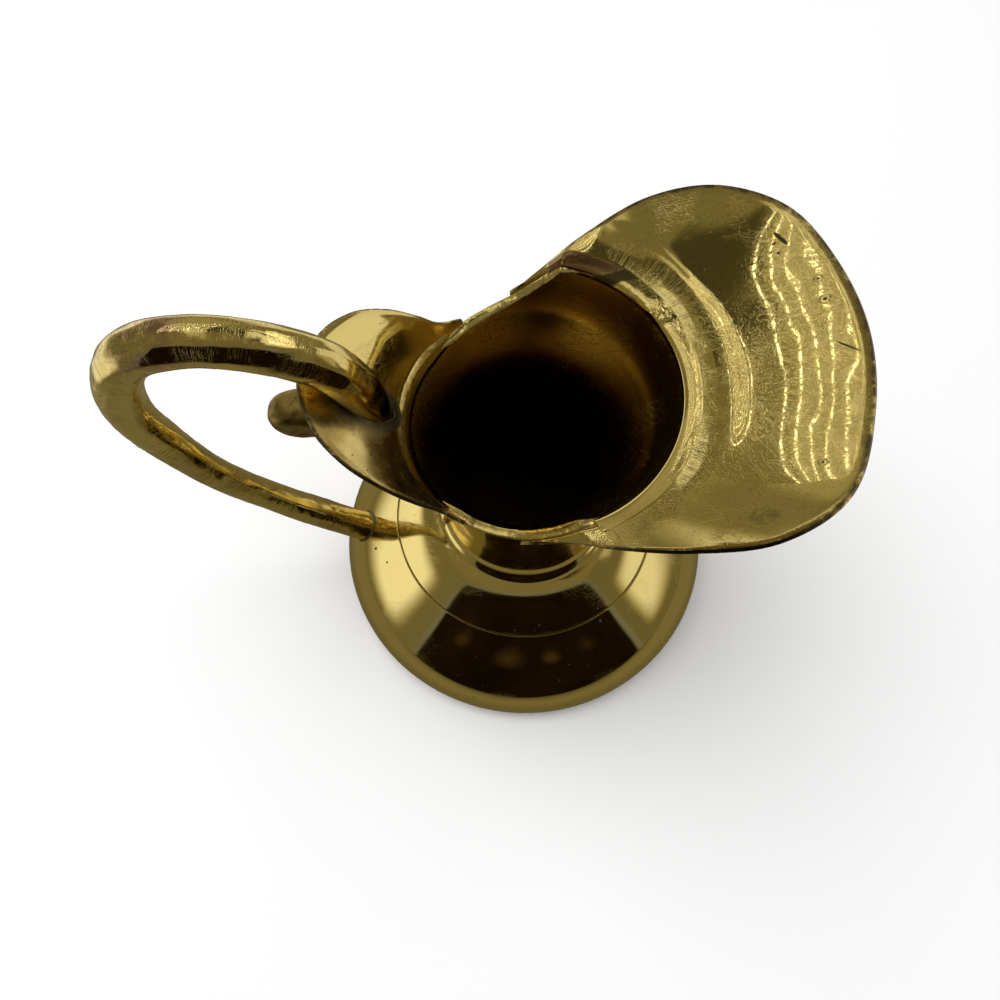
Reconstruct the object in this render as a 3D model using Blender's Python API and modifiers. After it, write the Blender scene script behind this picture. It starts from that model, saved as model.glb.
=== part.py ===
"""Brass pitcher: squat body, straight neck, wide pouring lip, round-bar handle and a rear spur.

The row frame has its origin on the body axis at floor level. The lip points to +X, the handle
to -X, and +Z is up.
"""

import math

import bmesh
import bpy
from mathutils import Matrix, Vector

MM = 0.001

# Sheet and joints
SHEET = 1.0 * MM
GAP = 0.3 * MM
TURN_STEPS = 52

# Working distances of the cutters and of the slope measurement
CUTTER_OVERLAP = 10.0 * MM
RISE_STEP = 0.5 * MM

# Body
BODY_R = 65.4 * MM
BOTTOM_EDGE_R = 6.5 * MM
BOTTOM_TURN_IN = 4.3 * MM
BASE_SEAM_R = BODY_R - BOTTOM_EDGE_R - BOTTOM_TURN_IN
SEAM_R = 43.9 * MM
SEAM_Z = 31.2 * MM
SEAM_SLOPE = math.radians(37.0)
DOME_SIDE_PULL = 9.0 * MM
DOME_TOP_PULL = 12.0 * MM

# Shoulder
FLAT_R = 29.5 * MM
FLAT_Z = 39.9 * MM
FLAT_SLOPE = math.radians(12.0)
SHOULDER_PULL = 5.0 * MM
FILLET_TOP_Z = 52.0 * MM
FILLET_LOW_PULL = 3.0 * MM
FILLET_TOP_PULL = 7.5 * MM

# Neck and its flare
NECK_R = 24.7 * MM
FLARE_START_Z = 76.0 * MM
FLARE_MID_R = 33.4 * MM
FLARE_MID_Z = 98.2 * MM
FLARE_MID_SLOPE = math.radians(56.6)
FLARE_START_PULL = 9.0 * MM
FLARE_LOW_PULL = 7.0 * MM
FLARE_HIGH_PULL = 4.0 * MM
NECK_TOP_R = 38.3 * MM
NECK_TOP_Z = 113.6 * MM
NECK_TOP_SLOPE = math.radians(74.8)
NECK_TOP_PULL = 5.0 * MM

# Upper edge of the neck sheet, seen from the side: X and Z
NECK_EDGE = [
    (-60.0 * MM, 97.8 * MM),
    (-26.0 * MM, 97.8 * MM),
    (-18.0 * MM, 99.4 * MM),
    (-11.0 * MM, 100.8 * MM),
    (-3.6 * MM, 103.2 * MM),
    (3.0 * MM, 107.5 * MM),
    (10.0 * MM, NECK_TOP_Z),
    (60.0 * MM, NECK_TOP_Z),
]

# Pouring lip: rim from the tip to the side, then its end held on the neck (X and Z)
LIP_RIM = [
    (74.0 * MM, 0.0, 134.0 * MM),
    (71.2 * MM, 19.7 * MM, 133.3 * MM),
    (63.7 * MM, 37.4 * MM, 131.6 * MM),
    (48.5 * MM, 46.5 * MM, 129.8 * MM),
    (31.7 * MM, 47.0 * MM, 126.0 * MM),
    (15.1 * MM, 42.8 * MM, 117.3 * MM),
    (6.2 * MM, 39.4 * MM, 111.1 * MM),
]
LIP_END = (-3.6 * MM, 103.8 * MM)
LIP_STEP = 0.8 * MM
LIP_SAG = 0.9 * MM

# Rear lobe: its end held on the neck (X and Z), then the rim to the middle of the back
LOBE_END = (-17.5 * MM, 100.8 * MM)
LOBE_RIM = [
    (-23.5 * MM, 27.6 * MM, 103.2 * MM),
    (-28.4 * MM, 27.0 * MM, 107.2 * MM),
    (-36.5 * MM, 24.9 * MM, 113.4 * MM),
    (-44.1 * MM, 20.7 * MM, 117.9 * MM),
    (-50.9 * MM, 13.1 * MM, 120.5 * MM),
    (-55.2 * MM, 0.0, 121.0 * MM),
]
LOBE_SEAT_Z = 97.8 * MM
LOBE_SAG = 0.6 * MM
SEAT_HALF_WIDTH = 16.0 * MM
HANDLE_SEAT_DEPTH = 14.0 * MM
OUTWARD = Vector((-0.7, 0.0, -0.7))

# Lap of the lip and lobe on the neck
LAP = 4.2 * MM
LAP_AT_END = 1.4 * MM
LAP_TAPER_STEPS = 7
SAG_FULL_REACH = 20.0 * MM
BEND = 1.6 * MM

# Handle bar: X, Z and diameter along its middle line
HANDLE_LINE = [
    (-39.8 * MM, 101.0 * MM, 9.4 * MM),
    (-40.4 * MM, 110.0 * MM, 10.6 * MM),
    (-42.6 * MM, 118.4 * MM, 11.6 * MM),
    (-48.5 * MM, 128.1 * MM, 11.6 * MM),
    (-62.7 * MM, 136.0 * MM, 11.4 * MM),
    (-76.0 * MM, 138.1 * MM, 11.5 * MM),
    (-88.5 * MM, 133.8 * MM, 11.6 * MM),
    (-97.0 * MM, 122.0 * MM, 11.4 * MM),
    (-100.2 * MM, 107.0 * MM, 11.0 * MM),
    (-97.5 * MM, 87.5 * MM, 10.0 * MM),
    (-92.2 * MM, 69.5 * MM, 9.2 * MM),
    (-81.9 * MM, 52.0 * MM, 9.2 * MM),
    (-69.9 * MM, 35.9 * MM, 10.0 * MM),
    (-54.5 * MM, 18.0 * MM, 10.0 * MM),
]

# Solder round the two ends of the handle
SOLDER_RISE = 2.6 * MM
SOLDER_FOOT = 2.8 * MM
SOLDER_THIN = 0.9 * MM

# Rear spur
SPUR_TIP_X = -66.5 * MM
SPUR_Z = 105.0 * MM
SPUR_R = 6.4 * MM
SPUR_NOSE = 10.9 * MM
SPUR_LENGTH = 33.0 * MM
SPUR_BRAZE_WIDTH = 1.3 * MM
SPUR_BRAZE_RISE = 2.2 * MM

# Inside joints
SEAM_BAND_WIDTH = 5.0 * MM
SEAM_BAND_THICK = 0.8 * MM
BASE_BAND_WIDTH = 4.6 * MM
BASE_BAND_THICK = 0.8 * MM
BEAD_R = 0.7 * MM


# Curves
def bezier(start, pull_a, pull_b, end, pieces):
    """Points on a cubic curve, with both of its ends."""
    points = []
    for k in range(pieces + 1):
        t = k / pieces
        u = 1.0 - t
        weights = (u * u * u, 3.0 * u * u * t, 3.0 * u * t * t, t * t * t)
        corners = (start, pull_a, pull_b, end)
        points.append(tuple(sum(w * c[i] for w, c in zip(weights, corners)) for i in range(2)))
    return points


def smooth_through(knots, count, symmetric_start=False, symmetric_end=False):
    """A smooth line through knots. A symmetric end crosses the plane Y = 0 squarely."""
    line = [Vector(k) for k in knots]
    mirrored = Vector((1.0, -1.0, 1.0))
    before = line[1] * mirrored if symmetric_start else line[0] * 2.0 - line[1]
    after = line[-2] * mirrored if symmetric_end else line[-1] * 2.0 - line[-2]
    padded = [before] + line + [after]
    times = [0.0]
    for a, b in zip(padded, padded[1:]):
        times.append(times[-1] + (b - a).length)
    slopes = [None]
    for k in range(1, len(padded) - 1):
        slopes.append((padded[k + 1] - padded[k - 1]) / (times[k + 1] - times[k - 1]))
    points = []
    first = times[1]
    last = times[-2]
    for n in range(count + 1):
        time = first + (last - first) * n / count
        k = 1
        while k < len(padded) - 3 and time > times[k + 1]:
            k += 1
        span = times[k + 1] - times[k]
        t = (time - times[k]) / span
        value = padded[k] * (2 * t**3 - 3 * t**2 + 1)
        value += slopes[k] * span * (t**3 - 2 * t**2 + t)
        value += padded[k + 1] * (3 * t**2 - 2 * t**3)
        value += slopes[k + 1] * span * (t**3 - t**2)
        points.append(value)
    return points


def along(angle, length):
    """A step in the (radius, height) plane, rising at an angle from outward."""
    return Vector((math.cos(angle) * length, math.sin(angle) * length))


# Outlines of the turned pieces as radius and height
def dome_outline():
    """From the shoulder seam down to the flat of the base."""
    seam = Vector((SEAM_R, SEAM_Z)) + along(-SEAM_SLOPE, GAP)
    widest = Vector((BODY_R, BOTTOM_EDGE_R))
    top_pull = seam + along(-SEAM_SLOPE, DOME_TOP_PULL)
    side_pull = widest + Vector((0.0, DOME_SIDE_PULL))
    points = bezier(seam, top_pull, side_pull, widest, 8)
    edge_centre = BODY_R - BOTTOM_EDGE_R
    for k in range(1, 5):
        turn = math.pi / 2.0 * k / 4
        points.append((edge_centre + BOTTOM_EDGE_R * math.cos(turn), BOTTOM_EDGE_R * (1.0 - math.sin(turn))))
    return points


def neck_outline():
    """From the top of the flare down the neck and out to the shoulder seam."""
    top = Vector((NECK_TOP_R, NECK_TOP_Z))
    middle = Vector((FLARE_MID_R, FLARE_MID_Z))
    start = Vector((NECK_R, FLARE_START_Z))
    points = bezier(top, top + along(NECK_TOP_SLOPE, -NECK_TOP_PULL),
                    middle + along(FLARE_MID_SLOPE, FLARE_HIGH_PULL), middle, 5)
    points += bezier(middle, middle + along(FLARE_MID_SLOPE, -FLARE_LOW_PULL),
                     start + Vector((0.0, FLARE_START_PULL)), start, 5)[1:]
    fillet_top = Vector((NECK_R, FILLET_TOP_Z))
    flat = Vector((FLAT_R, FLAT_Z))
    seam = Vector((SEAM_R, SEAM_Z))
    points += bezier(fillet_top, fillet_top - Vector((0.0, FILLET_TOP_PULL)),
                     flat + along(-FLAT_SLOPE, -FILLET_LOW_PULL), flat, 5)
    points += bezier(flat, flat + along(-FLAT_SLOPE, SHOULDER_PULL),
                     seam + along(-SEAM_SLOPE, -SHOULDER_PULL), seam, 3)[1:]
    return points


def neck_radius(height):
    """Outer radius of the neck at a height on its flare."""
    outline = neck_outline()
    for (r_high, z_high), (r_low, z_low) in zip(outline, outline[1:]):
        if z_low <= height <= z_high:
            share = (height - z_low) / (z_high - z_low)
            return r_low + (r_high - r_low) * share
    return outline[0][0]


def neck_rise(height):
    """Unit direction up the neck's flare at a height, in the (radius, height) plane."""
    low = Vector((neck_radius(height - RISE_STEP), height - RISE_STEP))
    high = Vector((neck_radius(height), height))
    return (high - low).normalized()


# Objects and materials
def new_object(name, mesh, collection):
    """Put a mesh in a collection as a named object."""
    obj = bpy.data.objects.new(name, mesh)
    collection.objects.link(obj)
    return obj


def outline_object(name, outline, closed, collection):
    """An object whose edges follow an outline in the plane Y = 0."""
    mesh = bpy.data.meshes.new(name)
    edges = [(k, k + 1) for k in range(len(outline) - 1)]
    if closed:
        edges.append((len(outline) - 1, 0))
    mesh.from_pydata([(r, 0.0, z) for r, z in outline], edges, [])
    return new_object(name, mesh, collection)


def turned(name, outline, closed, collection, steps=TURN_STEPS):
    """Turn an outline round the Z axis."""
    obj = outline_object(name, outline, closed, collection)
    screw = obj.modifiers.new("Turn", "SCREW")
    screw.axis = "Z"
    screw.angle = math.tau
    screw.steps = steps
    screw.render_steps = steps
    screw.use_merge_vertices = True
    screw.merge_threshold = 0.00001
    screw.use_smooth_shade = True
    return obj


def thicken(obj, thickness):
    """Give an open surface its sheet thickness, away from the side its faces look to."""
    solid = obj.modifiers.new("Sheet", "SOLIDIFY")
    solid.thickness = thickness
    solid.offset = -1.0
    solid.use_even_offset = True
    solid.use_quality_normals = True
    return solid


def cut(obj, cutter, label):
    """Take the cutter's volume away from an object."""
    boolean = obj.modifiers.new(label, "BOOLEAN")
    boolean.operation = "DIFFERENCE"
    boolean.solver = "EXACT"
    boolean.object = cutter
    return boolean


def keep(obj, zone, label):
    """Keep only what lies inside the zone's volume."""
    boolean = cut(obj, zone, label)
    boolean.operation = "INTERSECT"
    return boolean


def brass(name, colour, roughness):
    """A metal surface with its own colour and polish."""
    material = bpy.data.materials.new(name)
    material.use_nodes = True
    shader = material.node_tree.nodes["Principled BSDF"]
    shader.inputs["Base Color"].default_value = (*colour, 1.0)
    shader.inputs["Metallic"].default_value = 1.0
    shader.inputs["Roughness"].default_value = roughness
    material.diffuse_color = (*colour, 1.0)
    return material


def finish(obj, colour, roughness):
    """Assign a piece its own material."""
    obj.data.materials.append(brass(obj.name, colour, roughness))
    return obj


# Base
def make_base_disc(parts):
    """Flat disc set flush into the turned-in bottom of the body."""
    radius = BASE_SEAM_R - GAP
    obj = turned("base_disc", [(0.0, SHEET), (radius, SHEET), (radius, 0.0), (0.0, 0.0)], False, parts)
    return finish(obj, (0.42, 0.33, 0.13), 0.45)


def make_base_solder(parts):
    """Solder run round the inside of the base seam."""
    low = SHEET + GAP
    high = low + BASE_BAND_THICK
    half = BASE_BAND_WIDTH / 2.0
    crown = half * 0.5
    outline = [
        (BASE_SEAM_R + crown, high),
        (BASE_SEAM_R + half, low),
        (BASE_SEAM_R - half, low),
        (BASE_SEAM_R - crown, high),
    ]
    return finish(turned("base_seam_solder", outline, True, parts), (0.38, 0.35, 0.30), 0.5)


# Body
def make_body_bowl(parts):
    """Domed lower body with a rounded foot edge and a turned-in bottom."""
    outline = dome_outline()
    outline.append((BASE_SEAM_R, 0.0))
    obj = turned("body_bowl", outline, False, parts)
    thicken(obj, SHEET)
    return finish(obj, (0.62, 0.50, 0.18), 0.2)


def make_seam_solder(parts):
    """Thin solder band behind the shoulder seam."""
    normal = Vector((math.sin(SEAM_SLOPE), math.cos(SEAM_SLOPE)))
    depth = SHEET + GAP * 1.5 + SEAM_BAND_THICK / 2.0
    middle = Vector((SEAM_R, SEAM_Z)) - normal * depth
    side = along(-SEAM_SLOPE, SEAM_BAND_WIDTH / 2.0)
    rise = normal * (SEAM_BAND_THICK / 2.0)
    corners = [middle - side + rise, middle + side + rise, middle + side - rise, middle - side - rise]
    obj = turned("shoulder_seam_solder", [tuple(c) for c in corners], True, parts)
    return finish(obj, (0.38, 0.35, 0.30), 0.5)


# Neck
def neck_edge_cutter(cutters):
    """Block above the upper edge of the neck, drawn from the side."""
    edge = smooth_through([(x, 0.0, z) for x, z in NECK_EDGE[1:-1]], 20)
    lid = NECK_TOP_Z + CUTTER_OVERLAP
    reach = NECK_EDGE[-1][0]
    side = [(NECK_EDGE[0][0], NECK_EDGE[0][1])] + [(p.x, p.z) for p in edge]
    side += [(reach, NECK_TOP_Z + GAP), (reach, lid), (-reach, lid)]
    mesh = bmesh.new()
    front = [mesh.verts.new((x, -reach, z)) for x, z in side]
    face = mesh.faces.new(front)
    swept = bmesh.ops.extrude_face_region(mesh, geom=[face])
    moved = [v for v in swept["geom"] if isinstance(v, bmesh.types.BMVert)]
    bmesh.ops.translate(mesh, verts=moved, vec=(0.0, 2.0 * reach, 0.0))
    bmesh.ops.recalc_face_normals(mesh, faces=mesh.faces[:])
    data = bpy.data.meshes.new("neck_edge_cutter")
    mesh.to_mesh(data)
    mesh.free()
    return new_object("neck_edge_cutter", data, cutters)


def make_shoulder_and_neck(parts, cutters):
    """Shoulder, straight neck and its flare, trimmed along the waist of the mouth."""
    obj = turned("shoulder_and_neck", neck_outline(), False, parts)
    thicken(obj, SHEET)
    cut(obj, neck_edge_cutter(cutters), "Waist")
    return finish(obj, (0.60, 0.47, 0.17), 0.22)


# Lip and lobe, lofted from the round neck out to the drawn rim
def held_on_neck(x, z):
    """A rim point that lies on the outside of the neck."""
    radius = neck_radius(z) + GAP
    return (x, math.sqrt(radius * radius - x * x), z)


def section(rim, seat_z, lap, sag, pieces):
    """One section of the sheet: up the neck, round the bend and out to the rim."""
    angle = math.atan2(rim.y, rim.x)
    edge = Vector((math.hypot(rim.x, rim.y), rim.z))
    points = []
    for k in range(2):
        height = seat_z - lap + lap * k / 2.0
        points.append(Vector((neck_radius(height) + GAP, height)))
    seat = Vector((neck_radius(seat_z) + GAP, seat_z))
    reach = (edge - seat).length
    bend = min(BEND, reach / 3.0)
    elbow = seat + neck_rise(seat_z) * bend
    run = edge - elbow
    leave = elbow + run.normalized() * bend
    points += [Vector(p) for p in bezier(seat, seat.lerp(elbow, 0.67), leave.lerp(elbow, 0.67), leave, 3)]
    below = Vector((run.y, -run.x)).normalized()
    for k in range(1, pieces + 1):
        share = k / pieces
        points.append(leave.lerp(edge, share) + below * (4.0 * sag * share * (1.0 - share)))
    return [Vector((p.x * math.cos(angle), p.x * math.sin(angle), p.y)) for p in points]


def skin_sheet(mesh, sections):
    """Join neighbouring sections with faces that look to the inside."""
    rows = [[mesh.verts.new(p) for p in one] for one in sections]
    for row_a, row_b in zip(rows, rows[1:]):
        for k in range(len(row_a) - 1):
            face = mesh.faces.new((row_a[k], row_a[k + 1], row_b[k + 1], row_b[k]))
            face.smooth = True


def lofted(name, sections, collection):
    """A half surface through the sections, mirrored over the plane Y = 0."""
    mesh = bmesh.new()
    skin_sheet(mesh, sections)
    data = bpy.data.meshes.new(name)
    mesh.to_mesh(data)
    mesh.free()
    obj = new_object(name, data, collection)
    mirror = obj.modifiers.new("Both sides", "MIRROR")
    mirror.use_axis = (False, True, False)
    mirror.use_clip = True
    mirror.merge_threshold = 0.00001
    return obj


def lip_sections():
    """Sections of the pouring lip from the tip round to its side end."""
    knots = LIP_RIM + [held_on_neck(*LIP_END)]
    rim = smooth_through(knots, 26, symmetric_start=True)
    rim[0].y = 0.0
    taper = range(len(rim) - 1, -1, -1)
    return [section_at(p, NECK_TOP_Z, LIP_SAG, steps, 5) for p, steps in zip(rim, taper)]


def section_at(rim, highest_seat, full_sag, steps_to_end, pieces):
    """A section whose lap shrinks towards the side end and whose sag grows with its reach."""
    lap = LAP_AT_END + (LAP - LAP_AT_END) * min(1.0, steps_to_end / LAP_TAPER_STEPS)
    reach = math.hypot(rim.x, rim.y) - NECK_TOP_R
    sag = full_sag * max(0.0, min(1.0, reach / SAG_FULL_REACH))
    return section(rim, min(highest_seat, rim.z - LIP_STEP), lap, sag, pieces)


def lobe_sections():
    """Sections of the rear lobe from its side end round to the middle of the back."""
    knots = [held_on_neck(*LOBE_END)] + LOBE_RIM
    rim = smooth_through(knots, 16, symmetric_end=True)
    rim[-1].y = 0.0
    return [section_at(p, LOBE_SEAT_Z, LOBE_SAG, steps, 4) for steps, p in enumerate(rim)]


def make_spout(parts):
    """Front sheet: lapped on the neck and flared into the broad pouring lip."""
    obj = lofted("spout", lip_sections(), parts)
    thicken(obj, SHEET)
    return finish(obj, (0.55, 0.47, 0.20), 0.24)


def make_rear_lobe(parts):
    """Rear sheet: lapped on the neck and turned up to carry the handle."""
    obj = lofted("rear_lobe", lobe_sections(), parts)
    thicken(obj, SHEET)
    return finish(obj, (0.62, 0.51, 0.20), 0.26)


def lobe_block(name, lift, sweep, cutters):
    """The back of the lobe's inner face, moved along its normals and swept into a solid block."""
    half = [one for one in lobe_sections() if one[-1].y < SEAT_HALF_WIDTH]
    other = [[Vector((p.x, -p.y, p.z)) for p in one] for one in reversed(half[:-1])]
    mesh = bmesh.new()
    skin_sheet(mesh, half + other)
    mesh.normal_update()
    shifts = [(v, v.normal * lift) for v in mesh.verts]
    for vert, shift in shifts:
        vert.co += shift
    swept = bmesh.ops.extrude_face_region(mesh, geom=mesh.faces[:], use_keep_orig=True)
    moved = [v for v in swept["geom"] if isinstance(v, bmesh.types.BMVert)]
    bmesh.ops.translate(mesh, verts=moved, vec=sweep)
    bmesh.ops.recalc_face_normals(mesh, faces=mesh.faces[:])
    data = bpy.data.meshes.new(name)
    mesh.to_mesh(data)
    mesh.free()
    return new_object(name, data, cutters)


# Braze along the laps
def bead(name, points, parts):
    """A thin round bead laid along a line, with closed ends."""
    curve = bpy.data.curves.new(name, "CURVE")
    curve.dimensions = "3D"
    curve.bevel_depth = BEAD_R
    curve.bevel_resolution = 1
    curve.use_fill_caps = True
    spline = curve.splines.new("POLY")
    spline.points.add(len(points) - 1)
    for point, place in zip(spline.points, points):
        point.co = (*place, 1.0)
    obj = new_object(name, curve, parts)
    return solid_from_curve(obj, parts)


def arc_on_neck(height, start, end, pieces):
    """Points over the edge of the neck sheet from one angle to another."""
    radius = neck_radius(height) - SHEET / 2.0
    lift = height + GAP + BEAD_R
    points = []
    for k in range(pieces + 1):
        angle = start + (end - start) * k / pieces
        points.append((radius * math.cos(angle), radius * math.sin(angle), lift))
    return points


def make_spout_braze(parts):
    """Bead along the joint between the neck's top edge and the lip."""
    reach = math.radians(64.0)
    obj = bead("spout_braze", arc_on_neck(NECK_TOP_Z, -reach, reach, 36), parts)
    return finish(obj, (0.60, 0.38, 0.20), 0.4)


def make_lobe_braze(parts):
    """Bead along the joint between the neck's rear edge and the lobe."""
    middle = math.pi
    reach = math.radians(34.0)
    obj = bead("rear_lobe_braze", arc_on_neck(LOBE_SEAT_Z, middle - reach, middle + reach, 18), parts)
    return finish(obj, (0.45, 0.33, 0.16), 0.45)


# Handle
def solid_from_curve(obj, collection):
    """Turn a curve object into a closed mesh with welded ends."""
    graph = bpy.context.evaluated_depsgraph_get()
    data = bpy.data.meshes.new_from_object(obj.evaluated_get(graph))
    mesh = bmesh.new()
    mesh.from_mesh(data)
    bmesh.ops.remove_doubles(mesh, verts=mesh.verts[:], dist=0.000001)
    bmesh.ops.recalc_face_normals(mesh, faces=mesh.faces[:])
    for face in mesh.faces:
        face.smooth = len(face.verts) == 4
    mesh.to_mesh(data)
    mesh.free()
    name = obj.name
    matrix = obj.matrix_world.copy()
    bpy.data.objects.remove(obj)
    data.name = name
    result = new_object(name, data, collection)
    result.matrix_world = matrix
    return result


def handle_bar(name, extras, collection):
    """Round bar along the handle's middle line, grown by its own distance at each point."""
    curve = bpy.data.curves.new(name, "CURVE")
    curve.dimensions = "3D"
    curve.bevel_depth = 1.0
    curve.bevel_resolution = 6
    curve.resolution_u = 4
    curve.use_fill_caps = True
    spline = curve.splines.new("BEZIER")
    spline.radius_interpolation = "CARDINAL"
    spline.bezier_points.add(len(HANDLE_LINE) - 1)
    for point, (x, z, diameter), extra in zip(spline.bezier_points, HANDLE_LINE, extras):
        point.co = (x, 0.0, z)
        point.handle_left_type = "AUTO"
        point.handle_right_type = "AUTO"
        point.radius = diameter / 2.0 + extra
    obj = new_object(name, curve, collection)
    return solid_from_curve(obj, collection)


def body_zone(name, lift, cutters):
    """The body's outer shape as a solid, grown by a distance."""
    outline = [Vector(p) for p in dome_outline()]
    grown = []
    for k, point in enumerate(outline):
        before = outline[max(0, k - 1)]
        after = outline[min(len(outline) - 1, k + 1)]
        run = (after - before).normalized()
        grown.append(tuple(point + Vector((-run.y, run.x)) * lift))
    closed = [(0.0, grown[0][1])] + grown + [(0.0, grown[-1][1])]
    return turned(name, closed, False, cutters)


def make_handle(parts, lobe_seat, body):
    """Bar from the inside of the rear lobe, over the rim and down to the body."""
    obj = handle_bar("handle", [0.0] * len(HANDLE_LINE), parts)
    cut(obj, lobe_seat, "Upper seat")
    cut(obj, body, "Lower seat")
    return finish(obj, (0.55, 0.45, 0.20), 0.3)


def make_handle_solder(parts, cutters, lobe_seat, body, grown_bar):
    """Solder collars at the two ends of the handle, widest where they meet the sheet."""
    middle = [SOLDER_THIN] * (len(HANDLE_LINE) - 1)
    upper = handle_bar("handle_upper_solder", [SOLDER_FOOT] + middle, parts)
    keep(upper, lobe_block("upper_collar_zone", SOLDER_RISE, OUTWARD * HANDLE_SEAT_DEPTH, cutters), "Height")
    cut(upper, grown_bar, "Bar")
    cut(upper, lobe_seat, "Lobe")
    finish(upper, (0.32, 0.30, 0.26), 0.55)
    lower = handle_bar("handle_lower_solder", middle + [SOLDER_FOOT], parts)
    keep(lower, body_zone("lower_collar_zone", SOLDER_RISE, cutters), "Height")
    cut(lower, grown_bar, "Bar")
    cut(lower, body, "Body")
    finish(lower, (0.30, 0.26, 0.18), 0.5)


# Spur
def spur_solid(name, extra, collection):
    """Blunt bullet lying along -X: an elliptic nose on a straight shank, grown by a distance."""
    radius = SPUR_R + extra
    nose = SPUR_NOSE + extra
    pieces = 7
    outline = []
    for k in range(pieces + 1):
        turn = math.pi / 2.0 * k / pieces
        outline.append((radius * math.sin(turn), nose * math.cos(turn)))
    outline[0] = (0.0, nose)
    outline.append((radius, SPUR_NOSE - SPUR_LENGTH))
    outline.append((0.0, SPUR_NOSE - SPUR_LENGTH))
    obj = turned(name, outline, False, collection, 28)
    turn = Matrix.Rotation(math.radians(-90.0), 4, "Y")
    obj.matrix_world = Matrix.Translation((SPUR_TIP_X + SPUR_NOSE, 0.0, SPUR_Z)) @ turn
    return obj


def make_spur(parts, lobe_seat):
    """Blunt lug brazed to the outside of the rear lobe."""
    obj = spur_solid("rear_spur", 0.0, parts)
    cut(obj, lobe_seat, "Seat")
    return finish(obj, (0.38, 0.33, 0.18), 0.5)


def make_spur_braze(parts, lobe_seat, cutters):
    """Ring of braze round the root of the spur."""
    obj = spur_solid("rear_spur_braze", SPUR_BRAZE_WIDTH, parts)
    drop = -SHEET - GAP - SPUR_BRAZE_RISE
    keep(obj, lobe_block("spur_braze_zone", drop, -OUTWARD * SPUR_LENGTH, cutters), "Height")
    cut(obj, spur_solid("spur_cutter", GAP, cutters), "Spur")
    cut(obj, lobe_seat, "Lobe")
    return finish(obj, (0.42, 0.34, 0.18), 0.5)


# Whole pitcher
def main():
    for obj in list(bpy.data.objects):
        bpy.data.objects.remove(obj, do_unlink=True)
    parts = bpy.data.collections.new("brass_pitcher")
    cutters = bpy.data.collections.new("cutters")
    bpy.context.scene.collection.children.link(parts)
    bpy.context.scene.collection.children.link(cutters)

    make_base_disc(parts)
    make_base_solder(parts)
    make_body_bowl(parts)
    make_seam_solder(parts)
    make_shoulder_and_neck(parts, cutters)
    make_spout(parts)
    make_spout_braze(parts)
    make_rear_lobe(parts)
    make_lobe_braze(parts)

    handle_seat = lobe_block("handle_seat_cutter", GAP, OUTWARD * HANDLE_SEAT_DEPTH, cutters)
    spur_seat = lobe_block("spur_seat_cutter", -SHEET - GAP, -OUTWARD * SPUR_LENGTH, cutters)
    body = body_zone("body_cutter", GAP, cutters)
    grown_bar = handle_bar("bar_cutter", [GAP] * len(HANDLE_LINE), cutters)
    make_handle(parts, handle_seat, body)
    make_handle_solder(parts, cutters, handle_seat, body, grown_bar)
    make_spur(parts, spur_seat)
    make_spur_braze(parts, spur_seat, cutters)

    for obj in cutters.objects:
        obj.hide_render = True
        obj.display_type = "WIRE"


main()
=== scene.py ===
"""Brass pitcher: the visible metal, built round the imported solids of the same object."""

import math

import bmesh
import bpy
from bpy.props import FloatProperty, FloatVectorProperty, IntProperty, PointerProperty
from mathutils import Matrix, Vector, noise
from mathutils.bvhtree import BVHTree


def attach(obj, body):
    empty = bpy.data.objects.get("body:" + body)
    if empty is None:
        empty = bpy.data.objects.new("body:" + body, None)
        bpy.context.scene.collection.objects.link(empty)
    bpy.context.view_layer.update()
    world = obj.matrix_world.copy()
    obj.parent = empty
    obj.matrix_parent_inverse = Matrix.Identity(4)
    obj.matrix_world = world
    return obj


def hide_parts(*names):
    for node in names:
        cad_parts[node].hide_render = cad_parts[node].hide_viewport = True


bl_info = {
    "name": "Brass pitcher",
    "version": (1, 0, 0),
    "blender": (4, 5, 0),
    "location": "3D View > Sidebar > Pitcher",
    "description": "Builds a hand-made brass pitcher with a broad pouring lip",
    "category": "Object",
}

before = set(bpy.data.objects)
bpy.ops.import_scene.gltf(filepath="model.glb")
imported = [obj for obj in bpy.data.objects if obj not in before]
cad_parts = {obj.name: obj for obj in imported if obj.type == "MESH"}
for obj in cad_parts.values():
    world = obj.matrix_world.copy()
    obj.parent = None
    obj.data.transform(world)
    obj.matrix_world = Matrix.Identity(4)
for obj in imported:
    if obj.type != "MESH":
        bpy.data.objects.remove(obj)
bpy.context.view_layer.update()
MM = 0.001

# Upper edge of the neck sheet from the side, as X and Z
NECK_EDGE = [
    (-60.0, 97.8), (-26.0, 97.8), (-18.0, 99.4), (-11.0, 100.8), (-3.6, 103.2), (3.0, 107.5),
    (10.0, 113.6), (60.0, 113.6),
]

# Rim of the pouring lip from the tip to its side end
LIP_RIM = [
    (74.0, 0.0, 134.0), (71.2, 19.7, 133.3), (63.7, 37.4, 131.6), (48.5, 46.5, 129.8),
    (31.7, 47.0, 126.0), (15.1, 42.8, 117.3), (6.2, 39.4, 111.1),
]
LIP_END = (-3.6, 103.8)

# Slope of the lip along its middle line: distance from the axis, and degrees above level
LIP_FORM = [
    (39.5, 7.0), (44.2, 9.0), (45.8, 19.0), (48.0, 21.0), (51.4, 22.5), (57.0, 24.0), (62.0, 28.5),
    (68.0, 33.5), (74.0, 37.5),
]

# Formed ring on the lip: its distance from the axis, its half width, and how much steeper it stands;
# the gain is what is added to that on the far side
LIP_RING = (49.6, 1.15, 11.5)
RING_SIDE_GAIN = 4.0

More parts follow.
